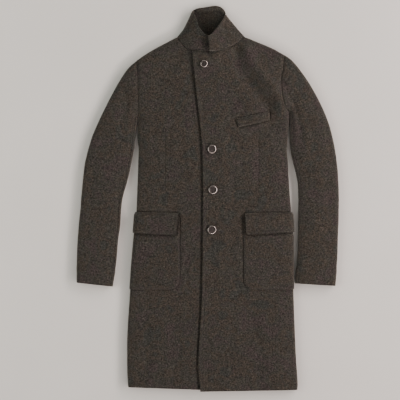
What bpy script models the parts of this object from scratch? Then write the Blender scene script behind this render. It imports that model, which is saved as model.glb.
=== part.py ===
"""Knee-length wool overcoat, buttoned and laid flat on its back.

Sizes are in millimetres, in the plan of the laid coat: x runs from the centre front to the wearer's left,
y from the hem up to the collar and z up from the surface. At the end every piece is moved so that the
middle of the coat's base is at the origin, with 1 unit to the metre.
"""

import math
from collections import namedtuple

import bmesh
import bpy
import numpy as np
from mathutils import Matrix, Vector

Plan = namedtuple("Plan", "x y")

# Cloth
WALL = 2.4  # boiled wool
COLLAR_WALL = 4.0  # two layers
FLAP_WALL = 3.6
WELT_WALL = 3.2
SEAM_GAP = 0.3
COLLAR_GAP = 0.5  # the thicker collar stands a little further from its seam
LAY_GAP = 0.4  # between a panel and what is sewn on it
OVERLAP_GAP = 0.6  # between the two fronts, and the two ends of the collar
FRONT_SETTLES = (1, 32)  # how far past the under front's edge the upper one comes down beside it
COLLAR_SETTLES = (8, 44)  # where the collar's left end comes down beside its right one

# Folds at the sides, shoulders and sleeves
FOLD_RADIUS = 10.0
FOLD_STEPS = 3  # to a quarter of the fold
SEAM_INSET = 14.0  # side, shoulder and back sleeve seams lie this far in, on the underside
INSEAM = 8.0  # from the sleeve's inner edge, on the upper side
EDGE_EASE = 15.0  # how far in from a fold the cloth takes up its loft

# How high the cloth lofts inside its folds
HEM_LOFT = 5.0
CHEST_LOFT = 10.0
LOFT_REACH = 60.0
HEM_TO_CHEST = 700.0

# Rows and columns of the cloth
SKIRT_ROWS = 7
WAIST_ROWS = 10
SKIRT_TOP = 480.0
ARMHOLE_POINTS = 5  # between the seams' insets
SLEEVE_ROWS = 20
SLEEVE_PIVOT = 0.26  # share of the outer edge whose rows all start at the armpit
COLLAR_ROWS = 6
BACK_NECK_STEPS = 8
FAN_STEPS = 3
NECK_STOPS = (0, 22, 44, 66, 88)
SHOULDER_STEPS = 4
LAPEL_STEPS = 2

# Outline of the laid coat, hem or cuff upwards, then over the shoulder
SIDE = {
    "left": [
        Plan(253.5, 2), Plan(254.5, 20), Plan(248.7, 109), Plan(242.5, 268), Plan(240.5, 340),
        Plan(240, 445), Plan(236, 500), Plan(233.5, 545), Plan(229, 605), Plan(225, 676),
        Plan(222.5, 712), Plan(225.5, 755), Plan(228.8, 790), Plan(229.5, 823),
    ],
    "right": [
        Plan(-247, 10), Plan(-249.5, 60), Plan(-249.5, 162), Plan(-243, 268), Plan(-235.5, 375),
        Plan(-229.5, 445), Plan(-223, 520), Plan(-219.5, 605), Plan(-217, 676), Plan(-216, 712),
        Plan(-219.5, 742), Plan(-219.5, 775), Plan(-217.4, 808),
    ],
}
SLEEVE_INNER = {
    "left": [
        Plan(247.2, 317), Plan(248, 339), Plan(251.6, 375), Plan(254.6, 445), Plan(255.5, 534),
        Plan(254.6, 605), Plan(248.7, 640), Plan(239.8, 676), Plan(233.3, 708), Plan(229.8, 755),
        Plan(230.6, 790), Plan(229.5, 823),
    ],
    "right": [
        Plan(-293.2, 307.7), Plan(-288, 339), Plan(-282.3, 375), Plan(-276.4, 445), Plan(-270, 490),
        Plan(-267.6, 534), Plan(-263, 569), Plan(-253, 605), Plan(-244, 640), Plan(-237, 676),
        Plan(-229.8, 711), Plan(-225.5, 745), Plan(-221.5, 775), Plan(-217.4, 808),
    ],
}
SLEEVE_OUTER = {
    "left": [
        Plan(364.9, 309.5), Plan(371.5, 390), Plan(373.6, 460), Plan(376, 534), Plan(375.5, 605),
        Plan(370, 676), Plan(358, 746), Plan(343, 799), Plan(319.5, 853), Plan(290, 906),
        Plan(266, 941), Plan(237, 976.6), Plan(214, 992.6),
    ],
    "right": [
        Plan(-398.5, 319), Plan(-398.5, 400), Plan(-394, 480), Plan(-388.5, 534), Plan(-382.6, 605),
        Plan(-374, 676), Plan(-355, 746), Plan(-332.5, 799.5), Plan(-288.2, 888), Plan(-256, 941),
        Plan(-241, 959), Plan(-223.3, 974),
    ],
}
SHOULDER = {
    "left": [Plan(214, 992.6), Plan(177.9, 1012.2), Plan(136.6, 1029.6), Plan(98, 1045)],
    "right": [
        Plan(-223.3, 974), Plan(-197, 993), Plan(-165, 1011.9), Plan(-132, 1029.6), Plan(-102, 1045),
    ],
}
COLLAR_SIDE = {
    "left": [Plan(98, 1045), Plan(83.5, 1061.5), Plan(65, 1083), Plan(51.5, 1099.5), Plan(42, 1113)],
    "right": [Plan(-102, 1045), Plan(-82.7, 1070), Plan(-69.5, 1096), Plan(-57, 1124)],
}

# Seams, from the armpit up, and from each end of the collar round to the shoulder
ARMHOLE = {
    "left": [
        Plan(229.5, 823), Plan(218, 837), Plan(208.5, 873), Plan(206, 929), Plan(211, 955), Plan(214, 992.6),
    ],
    "right": [Plan(-217.4, 808), Plan(-218, 850), Plan(-218.5, 930), Plan(-223.3, 974)],
}
NECK = {
    "left": [
        Plan(-6, 1001.5), Plan(12.7, 1003), Plan(37, 1009.5), Plan(62, 1019), Plan(80, 1030.5),
        Plan(98, 1045),
    ],
    "right": [
        Plan(6, 1000.5), Plan(-20, 1000.5), Plan(-55, 1003), Plan(-74, 1012), Plan(-89, 1027),
        Plan(-102, 1045),
    ],
}
BACK_NECK = [
    Plan(98, 1045), Plan(75, 1036.5), Plan(40, 1028), Plan(-2, 1025), Plan(-44, 1028), Plan(-79, 1036.5),
    Plan(-102, 1045),
]

# Free edges: each front from the hem up, with the top of its overlap, and the collar
FRONT_EDGE = {
    "left": [
        Plan(-33.5, -2.4), Plan(-39.5, 76), Plan(-37, 136), Plan(-29.5, 268), Plan(-25.7, 519),
        Plan(-26, 608), Plan(-28.5, 726), Plan(-39.2, 829), Plan(-50.7, 929), Plan(-57, 1004.5),
    ],
    "right": [Plan(31, 1), Plan(30, 300), Plan(32, 594), Plan(30, 714), Plan(25, 850), Plan(18, 1000.5)],
}
OVERLAP_TOP = {
    "left": [Plan(-57, 1004.5), Plan(-30, 1004.8), Plan(-6, 1001.5)],
    "right": [Plan(18, 1000.5), Plan(12, 1000.5), Plan(6, 1000.5)],
}
COLLAR_END = {
    "left": [Plan(-6, 1001.5), Plan(-8.5, 1022), Plan(-11, 1047)],
    "right": [Plan(6, 1000.5), Plan(6, 1019), Plan(6, 1038)],
}
COLLAR_MOUTH = {
    "left": [
        Plan(-11, 1047), Plan(-0.3, 1054), Plan(12.7, 1069), Plan(27.4, 1088), Plan(36.5, 1104),
        Plan(42, 1113),
    ],
    "right": [
        Plan(6, 1038), Plan(-9.7, 1047), Plan(-25, 1058), Plan(-37.5, 1074.4), Plan(-45, 1098),
        Plan(-57, 1124),
    ],
}
COLLAR_BACK = [
    Plan(42, 1113), Plan(38, 1124), Plan(27.4, 1133), Plan(12, 1136.8), Plan(-6, 1134.5), Plan(-26, 1131.6),
    Plan(-42, 1130), Plan(-57, 1124),
]

# Soft ridges and troughs of the upper side, each along a line of plan points
Crease = namedtuple("Crease", "height reach line")
CREASES = [
    Crease(15.0, 62.0, [Plan(-3, 1032), Plan(-3, 1060)]),
    Crease(6.0, 150.0, [Plan(-60, 840), Plan(70, 840)]),
    Crease(-4.0, 15.0, [Plan(84, 1008), Plan(100, 960), Plan(140, 897), Plan(187, 853), Plan(197, 778)]),
    Crease(3.0, 14.0, [Plan(112, 1012), Plan(146, 935), Plan(206, 876), Plan(244, 826), Plan(268, 762)]),
    Crease(-2.0, 18.0, [Plan(104, 776), Plan(137, 711), Plan(168, 620)]),
    Crease(-3.0, 16.0, [Plan(-86, 1008), Plan(-118, 955), Plan(-160, 905)]),
    Crease(-1.8, 12.0, [Plan(-195, 289), Plan(-192, 62)]),
    Crease(-2.5, 16.0, [Plan(-254, 880), Plan(-262, 760)]),
    Crease(-2.5, 14.0, [Plan(-262, 640), Plan(-330, 612)]),
    Crease(2.0, 16.0, [Plan(-300, 560), Plan(-372, 520)]),
    Crease(-2.0, 14.0, [Plan(280, 600), Plan(340, 566)]),
    Crease(2.0, 15.0, [Plan(300, 500), Plan(362, 470)]),
    Crease(-1.6, 16.0, [Plan(70, 640), Plan(60, 560)]),
    Crease(-1.8, 20.0, [Plan(120, 250), Plan(140, 30)]),
    Crease(-1.5, 18.0, [Plan(-100, 230), Plan(-112, 20)]),
]

# Patch pockets: the inner edge, the mouth and bottom, and the inner bottom corner's radius
Pocket = namedtuple("Pocket", "inner_x mouth bottom corner")
POCKETS = {"left": Pocket(94.7, 514, 299.7, 27), "right": Pocket(-95.3, 514, 299.7, 30)}
POCKET_ROWS = 6
POCKET_COLUMNS = 6
CORNER_STEPS = 3
POCKET_WRAP = 45.0  # degrees below the fold's middle, where it meets the side seam

# Pocket flaps: the inner edge's two ends, the levels at the side fold, and the corner's radius
Flap = namedtuple("Flap", "top_x top_y low_x low_y side_top side_low corner")
FLAPS = {
    "left": Flap(97.5, 525, 102.5, 461, 527.5, 469, 9),
    "right": Flap(-98.8, 525, -105.3, 460.5, 528, 466, 9),
}
FLAP_ROWS = (0, 3, 9, 25, 41)  # from its top edge
FLAP_CLIMB = (1, 9)  # where it climbs from the front onto the pocket, from its top edge
FLAP_WRAP = 30.0

# Breast pocket's welt, by its corners
Welt = namedtuple("Welt", "inner_low inner_high outer_low outer_high")
WELT = Welt(Plan(79, 778), Plan(70.5, 802.4), Plan(172, 799.8), Plan(169.9, 824.5))
WELT_COLUMNS = 6
WELT_ROWS = 2

# Buttons
Button = namedtuple("Button", "x y diameter")
BUTTONS = [
    Button(-22.4, 965.6, 21.5), Button(0.9, 713.9, 25.5), Button(3.5, 593.8, 25.5), Button(0.6, 475.5, 25.5),
]
Turned = namedtuple("Turned", "share height")  # share of the radius, and height over the button's back
BUTTON_PROFILE = [
    Turned(0.0, 2.3), Turned(0.55, 2.5), Turned(0.7, 3.7), Turned(0.84, 4.4), Turned(0.96, 3.6),
    Turned(1.0, 2.3), Turned(0.9, 0.6), Turned(0.72, 0.0), Turned(0.0, 0.0),
]
BUTTON_SIDES = 20
BUTTON_CLEAR = 0.8
HOLE_RADIUS = 1.1
HOLE_FROM_MIDDLE = 3.2
HOLE_SIDES = 6

METRE = 0.001
COAT_BROWN = (0.045, 0.038, 0.032)
HORN_BROWN = (0.06, 0.04, 0.035)

DECIMALS = 2  # to which points of joined grids agree, in millimetres
ON_FOLD = 0.01  # a point this close to a fold is on it
SLOPE_REACH = 0.5  # over which the cloth's slope is measured


def smooth(table, per_span=12):
    """A smooth curve through the table's points, as many closely spaced ones."""
    points = np.array(table, float)
    if len(points) == 2:
        shares = np.linspace(0, 1, per_span + 1)[:, None]
        return points[0] * (1 - shares) + points[1] * shares
    knots = runs(points)
    slopes = np.empty_like(points)
    slopes[1:-1] = (points[2:] - points[:-2]) / (knots[2:] - knots[:-2])[:, None]
    slopes[0] = (points[1] - points[0]) / (knots[1] - knots[0])
    slopes[-1] = (points[-1] - points[-2]) / (knots[-1] - knots[-2])
    curve = []
    for i in range(len(points) - 1):
        span = knots[i + 1] - knots[i]
        for t in np.linspace(0, 1, per_span, endpoint=False):
            curve.append(
                (2 * t**3 - 3 * t**2 + 1) * points[i]
                + (t**3 - 2 * t**2 + t) * span * slopes[i]
                + (3 * t**2 - 2 * t**3) * points[i + 1]
                + (t**3 - t**2) * span * slopes[i + 1]
            )
    curve.append(points[-1])
    return np.array(curve)


def runs(points):
    """How far along a line each of its points is."""
    return np.concatenate([[0], np.cumsum(np.linalg.norm(np.diff(points, axis=0), axis=1))])


def along(curve, distances):
    """The curve's points at these distances from its start."""
    run = runs(curve)
    distances = np.asarray(distances, float)
    return np.stack([np.interp(distances, run, curve[:, k]) for k in (0, 1)], axis=1)


def evenly(curve, steps):
    return along(curve, np.linspace(0, runs(curve)[-1], steps + 1))


def left_normals(curve):
    """Unit vectors to the left of each of a curve's points, looking along it."""
    ahead = np.diff(curve, axis=0)
    ahead /= np.linalg.norm(ahead, axis=1)[:, None]
    ahead = np.concatenate([ahead[:1], ahead[:-1] + ahead[1:], ahead[-1:]])
    ahead /= np.linalg.norm(ahead, axis=1)[:, None]
    return np.stack([-ahead[:, 1], ahead[:, 0]], axis=1)


# Distances in from a fold at which the cloth has a row of points
QUARTER = [FOLD_RADIUS * (1 - math.cos(math.pi / 2 * i / FOLD_STEPS)) for i in range(FOLD_STEPS + 1)]
FOLD_STOPS = QUARTER + [SEAM_INSET]
INSEAM_STOPS = sorted(FOLD_STOPS + [INSEAM])
INSEAM_AT = INSEAM_STOPS.index(INSEAM)
SIDES = ("left", "right")

side_curve = {s: smooth(SIDE[s]) for s in SIDES}
inner_curve = {s: smooth(SLEEVE_INNER[s])[::-1] for s in SIDES}
outer_curve = {s: smooth(SLEEVE_OUTER[s])[::-1] for s in SIDES}
shoulder_curve = {s: smooth(SHOULDER[s])[::-1] for s in SIDES}
collar_curve = {s: smooth(COLLAR_SIDE[s]) for s in SIDES}


class Folds:
    """The lines at which the cloth turns under, each with its cloth on the left of it."""

    def __init__(self, curves):
        self.start = np.concatenate([c[:-1] for c, _ in curves])
        self.step = np.concatenate([np.diff(c, axis=0) for c, _ in curves])
        self.normal_start = np.concatenate([n[:-1] for _, n in curves])
        self.normal_end = np.concatenate([n[1:] for _, n in curves])

    def at(self, points):
        """How far each point is from the nearest fold, and which way leads away from that fold."""
        gap = points[:, None, :] - self.start
        share = np.clip((gap * self.step).sum(2) / (self.step**2).sum(1), 0, 1)
        away = gap - share[:, :, None] * self.step
        distance = np.linalg.norm(away, axis=2)
        nearest = distance.argmin(axis=1)
        row = np.arange(len(points))
        distance, away, share = distance[row, nearest], away[row, nearest], share[row, nearest][:, None]
        on_fold = self.normal_start[nearest] * (1 - share) + self.normal_end[nearest] * share
        on_fold /= np.linalg.norm(on_fold, axis=1)[:, None]
        radial = away / np.maximum(distance, 1e-9)[:, None]
        return distance, np.where(distance[:, None] < ON_FOLD, on_fold, radial)


def fold_lines():
    """The folds of both sides; at the armpit the cloth leads away straight up."""
    lines = []
    for s in SIDES:
        outline = np.concatenate([outer_curve[s][::-1][:-1], shoulder_curve[s][::-1][:-1], collar_curve[s]])
        side, inner = side_curve[s], inner_curve[s]
        if s == "right":
            outline, side = outline[::-1], side[::-1]
            inner = inner[::-1]
        for line in (outline, side, inner):
            normals = left_normals(line)
            armpit = np.linalg.norm(line - side_curve[s][-1], axis=1) < ON_FOLD
            normals[armpit] = (0, 1)
            lines.append((line, normals))
    return Folds(lines)


folds = fold_lines()


def line_distance(points, line):
    """Each point's distance from a line of plan points."""
    line = np.array(line, float)
    start, step = line[:-1], np.diff(line, axis=0)
    gap = points[:, None, :] - start
    share = np.clip((gap * step).sum(2) / (step**2).sum(1), 0, 1)
    return np.linalg.norm(gap - share[:, :, None] * step, axis=2).min(axis=1)


def rise(value, start, end):
    """0 before start, 1 after end, and a smooth rise between them."""
    t = np.clip((value - start) / (end - start), 0, 1)
    return t * t * (3 - 2 * t)


def nothing(points):
    return np.zeros(len(points))


def loft(points, lift):
    """How far the upper side stands over the top of its folds."""
    distance, _ = folds.at(points)
    crown = HEM_LOFT + (CHEST_LOFT - HEM_LOFT) * rise(points[:, 1], 0, HEM_TO_CHEST)
    height = crown * (1 - np.exp(-distance / LOFT_REACH))
    for crease in CREASES:
        height += crease.height * np.exp(-((line_distance(points, crease.line) / crease.reach) ** 2))
    return (1 - np.exp(-((distance / EDGE_EASE) ** 2))) * height + lift(points)


def upper_face(points, lift=nothing):
    """The outer face of the upper side over these plan points, and its normals."""
    distance, inward = folds.at(points)
    share = np.minimum(distance / FOLD_RADIUS, 1)
    quarter = np.sqrt(1 - (1 - share) ** 2)
    height = FOLD_RADIUS * (1 + quarter) + loft(points, lift)
    slope = np.stack(
        [
            (loft(points + step, lift) - loft(points - step, lift)) / (2 * SLOPE_REACH)
            for step in SLOPE_REACH * np.eye(2)
        ],
        axis=1,
    )
    flat = -(1 - share)[:, None] * inward - quarter[:, None] * slope
    normals = np.column_stack([flat, quarter])
    return np.column_stack([points, height]), normals / np.linalg.norm(normals, axis=1)[:, None]


def under_face(points):
    """The outer face of the underside under these plan points, and its normals."""
    distance, inward = folds.at(points)
    share = np.minimum(distance / FOLD_RADIUS, 1)
    quarter = np.sqrt(1 - (1 - share) ** 2)
    normals = np.column_stack([-(1 - share)[:, None] * inward, -quarter])
    height = FOLD_RADIUS * (1 - quarter)
    return np.column_stack([points, height]), normals / np.linalg.norm(normals, axis=1)[:, None]


class Sheet:
    """A panel's outer face as points with normals, and the faces between them."""

    def __init__(self, lift=nothing, proud=nothing):
        self.lift = lift  # how far the coat's upper face is raised here
        self.proud = proud  # how far the panel stands out from that face
        self.points, self.normals, self.faces, self.known = [], [], [], {}

    def add(self, grid, upper):
        """Adds a grid of plan points, row by row, joined to what is there where points meet."""
        grid = np.array(grid, float)
        rows, columns = grid.shape[:2]
        flat = grid.reshape(-1, 2)
        points, normals = upper_face(flat, self.lift) if upper else under_face(flat)
        points = points + self.proud(flat)[:, None] * normals
        index = [self.index_of(p, n) for p, n in zip(points, normals)]
        for i in range(rows - 1):
            for j in range(columns - 1):
                k = i * columns + j
                self.face([index[k], index[k + 1], index[k + columns + 1], index[k + columns]])

    def index_of(self, point, normal):
        key = tuple(np.round(point, DECIMALS))
        if key not in self.known:
            self.known[key] = len(self.points)
            self.points.append(point)
            self.normals.append(normal)
        return self.known[key]

    def face(self, corners):
        corners = [c for i, c in enumerate(corners) if c != corners[i - 1]]
        if len(corners) > 2:
            self.faces.append(corners)

    def borders(self):
        """Each free edge with the face that it belongs to."""
        found = {}
        for face in self.faces:
            for a, b in zip(face, face[1:] + face[:1]):
                found.setdefault(frozenset((a, b)), []).append(face)
        return [(tuple(edge), faces[0]) for edge, faces in found.items() if len(faces) == 1]

    def drawn_in(self, amount):
        """The points, those of the free edges moved into the panel by the given amount."""
        points = np.array(self.points)
        ways = {}
        for (a, b), face in self.borders():
            edge = points[b] - points[a]
            edge /= np.linalg.norm(edge)
            into = points[face].mean(axis=0) - (points[a] + points[b]) / 2
            into -= into.dot(edge) * edge
            into /= np.linalg.norm(into)
            ways.setdefault(a, []).append(into)
            ways.setdefault(b, []).append(into)
        moved = points.copy()
        for i, (first, second) in ways.items():
            moved[i] += amount * (first + second) / max(1 + first.dot(second), 0.5)
        return moved


def cloth(name, sheet, material, wall=WALL, gap=SEAM_GAP):
    """A panel's solid: its outer face and, a wall's thickness inside that, its inner one."""
    points, normals = sheet.drawn_in(gap / 2), np.array(sheet.normals)
    bm = bmesh.new()
    high = [bm.verts.new(p) for p in points * METRE]
    low = [bm.verts.new(p) for p in (points - wall * normals) * METRE]
    for face in sheet.faces:
        bm.faces.new([high[i] for i in face])
        bm.faces.new([low[i] for i in reversed(face)])
    for (a, b), _ in sheet.borders():
        bm.faces.new([high[a], high[b], low[b], low[a]])
    bmesh.ops.recalc_face_normals(bm, faces=bm.faces)
    return finished(name, bm, material)


def finished(name, bm, material):
    mesh = bpy.data.meshes.new(name)
    bm.to_mesh(mesh)
    bm.free()
    mesh.materials.append(material)
    piece = bpy.data.objects.new(name, mesh)
    bpy.context.scene.collection.objects.link(piece)
    return piece


def surface(name, colour, roughness):
    material = bpy.data.materials.new(name)
    material.use_nodes = True
    shader = material.node_tree.nodes["Principled BSDF"]
    shader.inputs["Base Color"].default_value = (*colour, 1)
    shader.inputs["Roughness"].default_value = roughness
    shader.inputs["Metallic"].default_value = 0
    return material


def patch(bottom, top, start, end):
    """A plan grid between four lines: rows lead from start's points to end's, the first along bottom."""
    across = (runs(bottom) / runs(bottom)[-1] + runs(top) / runs(top)[-1]) / 2
    up = (runs(start) / runs(start)[-1] + runs(end) / runs(end)[-1]) / 2
    u, v = across[None, :, None], up[:, None, None]
    corners = (
        (1 - u) * (1 - v) * bottom[0] + u * (1 - v) * bottom[-1] + (1 - u) * v * top[0] + u * v * top[-1]
    )
    return (
        (1 - v) * bottom[None] + v * top[None] + (1 - u) * start[:, None] + u * end[:, None] - corners
    )


def from_both_ends(curve, first_stops, steps, last_stops):
    """Points at stops from each end of a curve and evenly spaced between them."""
    length = runs(curve)[-1]
    middle = np.linspace(first_stops[-1], length - last_stops[-1], steps + 1)[1:-1]
    return along(curve, [*first_stops, *middle, *(length - d for d in reversed(last_stops))])


def seam_points(s):
    """The points along one side's seams that its panels share."""
    points = {}
    points["armhole"] = from_both_ends(smooth(ARMHOLE[s]), INSEAM_STOPS, ARMHOLE_POINTS + 1, FOLD_STOPS)
    neck = smooth(NECK[s])
    length = runs(neck)[-1]
    points["neck"] = along(neck, [*NECK_STOPS, *(length - d for d in reversed(QUARTER))])
    shoulder = shoulder_curve[s]
    length = runs(shoulder)[-1]
    evened = np.linspace(0, length - QUARTER[-1], SHOULDER_STEPS + 1)
    points["shoulder"] = along(shoulder, [*evened, *(length - d for d in reversed(QUARTER[:-1]))])
    side = side_curve[s]
    length = runs(side)[-1]
    skirt = np.linspace(0, SKIRT_TOP, SKIRT_ROWS + 1)
    waist = np.linspace(SKIRT_TOP, length, WAIST_ROWS + 1)[1:]
    points["side"] = along(side, [*skirt, *waist])
    return points


seams = {s: seam_points(s) for s in SIDES}
back_neck = from_both_ends(smooth(BACK_NECK), FOLD_STOPS, BACK_NECK_STEPS, FOLD_STOPS)
UNDER_ARMHOLE = [INSEAM_STOPS.index(SEAM_INSET) + 2 * i for i in range(ARMHOLE_POINTS // 2 + 2)]


def neck_end(s):
    """The back neck's points from one shoulder to where that side's shoulder seam meets it."""
    return back_neck[: len(FOLD_STOPS)] if s == "left" else back_neck[::-1][: len(FOLD_STOPS)]


def side_strip(s):
    """Rows of the front's turned-under side, from the hem up and round the armpit to the armhole."""
    edge = seams[s]["side"]
    inward = left_normals(edge) if s == "left" else -left_normals(edge)
    rows = [[p + d * n for d in INSEAM_STOPS] for p, n in zip(edge, inward)]
    armpit = edge[-1]
    first, last = np.array(rows[-1]) - armpit, seams[s]["armhole"][: len(INSEAM_STOPS)] - armpit
    for step in range(1, FAN_STEPS + 1):
        rows.append([armpit + turned(a, b, step / FAN_STEPS) for a, b in zip(first, last)])
    return np.array(rows)


def turned(a, b, share):
    """A spoke part of the way from one spoke to another."""
    if not a.any():
        return a
    start, length = math.atan2(a[1], a[0]), np.linalg.norm(a)
    turn = (math.atan2(b[1], b[0]) - start + math.pi) % (2 * math.pi) - math.pi
    angle = start + share * turn
    reach = length + share * (np.linalg.norm(b) - length)
    return reach * np.array([math.cos(angle), math.sin(angle)])


def shoulder_strip(s):
    """Rows of the front's turned-under shoulder, from the neck out to the armhole."""
    edge = seams[s]["shoulder"]
    inward = -left_normals(edge) if s == "left" else left_normals(edge)
    rows = [[p + d * n for d in FOLD_STOPS] for p, n in zip(edge, inward)]
    rows[0] = neck_end(s)
    rows[-1] = seams[s]["armhole"][::-1][: len(FOLD_STOPS)]
    return np.array(rows)


def front_lift(points):
    """How far the upper front stands over the under one, whose edge it passes."""
    edge = smooth(FRONT_EDGE["right"])
    past = points[:, 0] - np.interp(points[:, 1], edge[:, 1], edge[:, 0])
    return (WALL + OVERLAP_GAP) * (1 - rise(past, *FRONT_SETTLES))


def collar_lift(points):
    """How far the collar's left end stands over its right end."""
    return (COLLAR_WALL + OVERLAP_GAP) * (1 - rise(points[:, 0], *COLLAR_SETTLES))


def front(s, lift, material):
    """One front: its upper side with the sides that turn under at the shoulder and below the arm."""
    outer = np.concatenate([seams[s]["side"], seams[s]["armhole"][1:]])
    top = np.concatenate(
        [evenly(smooth(OVERLAP_TOP[s]), LAPEL_STEPS), seams[s]["neck"][1:], seams[s]["shoulder"][1:]]
    )
    edge = smooth(FRONT_EDGE[s])
    edge = along(edge, runs(outer) / runs(outer)[-1] * runs(edge)[-1])
    width = np.linalg.norm(outer[0] - edge[0])
    evened = np.linspace(0, width - QUARTER[-1], len(top) - len(QUARTER) + 1)
    hem = along(np.array([edge[0], outer[0]]), [*evened, *(width - d for d in reversed(QUARTER[:-1]))])
    sheet = Sheet(lift)
    sheet.add(patch(hem, top, edge, outer), upper=True)
    sheet.add(side_strip(s), upper=False)
    sheet.add(shoulder_strip(s), upper=False)
    return cloth(f"front_{s}", sheet, material)


def back(material):
    """The back, flat on the surface, inside the seams of the fronts and sleeves."""
    outline = []
    for s in SIDES:
        strip = side_strip(s)
        armhole = seams[s]["armhole"][UNDER_ARMHOLE]
        half = [*strip[:, -1], *armhole[1:], *shoulder_strip(s)[::-1, -1][1:]]
        outline.append(half)
    neck = back_neck[len(FOLD_STOPS) : -len(FOLD_STOPS)]
    around = np.array([*outline[0], *neck, *outline[1][::-1]])
    points, normals = under_face(around)
    sheet = Sheet()
    sheet.face([sheet.index_of(p, n) for p, n in zip(points, normals)])
    return cloth("back", sheet, material)


def sleeve_rows(s):
    """Plan points of a sleeve, the armhole's first, each row from the inner edge to the outer."""
    armhole = seams[s]["armhole"]
    chord = armhole[0] + (runs(armhole) / runs(armhole)[-1])[:, None] * (armhole[-1] - armhole[0])
    inner, outer = inner_curve[s], outer_curve[s]
    rows = [armhole]
    for i in range(1, SLEEVE_ROWS + 1):
        share = i / SLEEVE_ROWS
        start = along(inner, [runs(inner)[-1] * max(0, (share - SLEEVE_PIVOT) / (1 - SLEEVE_PIVOT))])[0]
        end = along(outer, [runs(outer)[-1] * share])[0]
        row = from_both_ends(np.array([start, end]), INSEAM_STOPS, ARMHOLE_POINTS + 1, FOLD_STOPS)
        bow = max(0, 1 - share / SLEEVE_PIVOT) ** 2
        rows.append(row + bow * (armhole - chord))
    return np.array(rows)


def sleeve(s, material):
    """A sleeve's two pieces, which meet near the inner edge above and near the outer edge below."""
    rows = sleeve_rows(s)
    outer_seam = UNDER_ARMHOLE[-1]
    top = Sheet()
    top.add(rows[:, INSEAM_AT:], upper=True)
    top.add(rows[:, outer_seam:], upper=False)
    under = Sheet()
    under.add(rows[:, : INSEAM_AT + 1], upper=True)
    inner_part = list(range(UNDER_ARMHOLE[0]))
    under.add(rows[:, inner_part + UNDER_ARMHOLE], upper=False)
    return cloth(f"sleeve_{s}_top", top, material), cloth(f"sleeve_{s}_under", under, material)


def collar_stops(neck, mouth):
    """Points along the mouth, one for each point of the neck seam, at like shares of its length."""
    share = runs(neck) / runs(neck)[-1]
    return along(mouth, share * runs(mouth)[-1])


def collar(material):
    """The doubled collar: its back below, and its two ends turned over, the left one uppermost."""
    sheet = Sheet()
    for s in SIDES:
        sheet.lift = collar_lift if s == "left" else nothing
        neck, mouth = seams[s]["neck"], smooth(COLLAR_MOUTH[s])
        end, fold = evenly(smooth(COLLAR_END[s]), COLLAR_ROWS), evenly(collar_curve[s], COLLAR_ROWS)
        sheet.add(patch(neck, collar_stops(neck, mouth), end, fold), upper=True)
    top = collar_stops(back_neck, smooth(COLLAR_BACK))
    ends = [evenly(collar_curve[s], COLLAR_ROWS) for s in SIDES]
    sheet.add(patch(back_neck, top, ends[0], ends[1]), upper=False)
    return cloth("collar", sheet, material, wall=COLLAR_WALL, gap=2 * COLLAR_GAP - SEAM_GAP)


def side_x(s, y):
    """Where the side's fold is at a level."""
    return float(np.interp(y, side_curve[s][:, 1], side_curve[s][:, 0]))


def wrapped(s, ends, columns, wrap):
    """Plan points from each row's inner end to the side fold, and on the underside past it."""
    toward = 1 if s == "left" else -1
    upper, under = [], []
    past = [d for d in QUARTER if d < fold_inset(wrap)] + [fold_inset(wrap)]
    for inner, y in ends:
        fold = np.array([side_x(s, y), y])
        width = np.linalg.norm(fold - inner)
        evened = np.linspace(0, width - QUARTER[-1], columns + 1)
        spans = [*evened, *(width - d for d in reversed(QUARTER[:-1]))]
        upper.append([inner + (fold - inner) * span / width for span in spans])
        under.append([fold - (toward * d, 0) for d in past])
    return upper, under


def fold_inset(degrees):
    """How far in from the silhouette the fold is, at an angle below its middle."""
    return FOLD_RADIUS * (1 - math.cos(math.radians(degrees)))


def corner_turns():
    """Pairs of how far a round corner's points are from its two edges, in radii."""
    angles = [math.pi / 2 * i / CORNER_STEPS for i in range(CORNER_STEPS + 1)]
    return [(1 - math.cos(a), 1 - math.sin(a)) for a in angles]


def pocket(s, material):
    """A patch pocket on a front, round at its inner bottom corner and run into the side seam."""
    size = POCKETS[s]
    toward = 1 if s == "left" else -1
    ends = [
        (np.array([size.inner_x, y]), y)
        for y in np.linspace(size.mouth, size.bottom + size.corner, POCKET_ROWS + 1)
    ]
    for across, up in corner_turns()[1:]:
        y = size.bottom + size.corner * up
        ends.append((np.array([size.inner_x + toward * size.corner * across, y]), y))
    sheet = Sheet(proud=lambda points: nothing(points) + LAY_GAP + WALL)
    upper, under = wrapped(s, ends, POCKET_COLUMNS, POCKET_WRAP)
    sheet.add(upper, upper=True)
    sheet.add(under, upper=False)
    return cloth(f"pocket_{s}", sheet, material)


def flap(s, material):
    """A pocket's flap, sewn to the front above the pocket's mouth and lying on the pocket."""
    size = FLAPS[s]
    toward = 1 if s == "left" else -1
    top, low = np.array([size.top_x, size.top_y]), np.array([size.low_x, size.low_y])
    depth = np.linalg.norm(top - low)
    places = [(run, 0.0) for run in FLAP_ROWS]
    places += [(depth - size.corner * up, size.corner * across) for across, up in corner_turns()]
    ends = []
    for run, across in places:
        share = run / depth
        inner = top + (low - top) * share + (toward * across, 0)
        ends.append((inner, size.side_top + (size.side_low - size.side_top) * share))

    slant = (size.side_top - size.top_y) / (side_x(s, size.side_top) - size.top_x)

    def proud(points):
        from_top = size.top_y + slant * (points[:, 0] - size.top_x) - points[:, 1]
        return LAY_GAP + FLAP_WALL + (WALL + LAY_GAP) * rise(from_top, *FLAP_CLIMB)

    sheet = Sheet(proud=proud)
    upper, under = wrapped(s, ends, POCKET_COLUMNS, FLAP_WRAP)
    sheet.add(upper, upper=True)
    sheet.add(under, upper=False)
    return cloth(f"flap_{s}", sheet, material, wall=FLAP_WALL)


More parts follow.
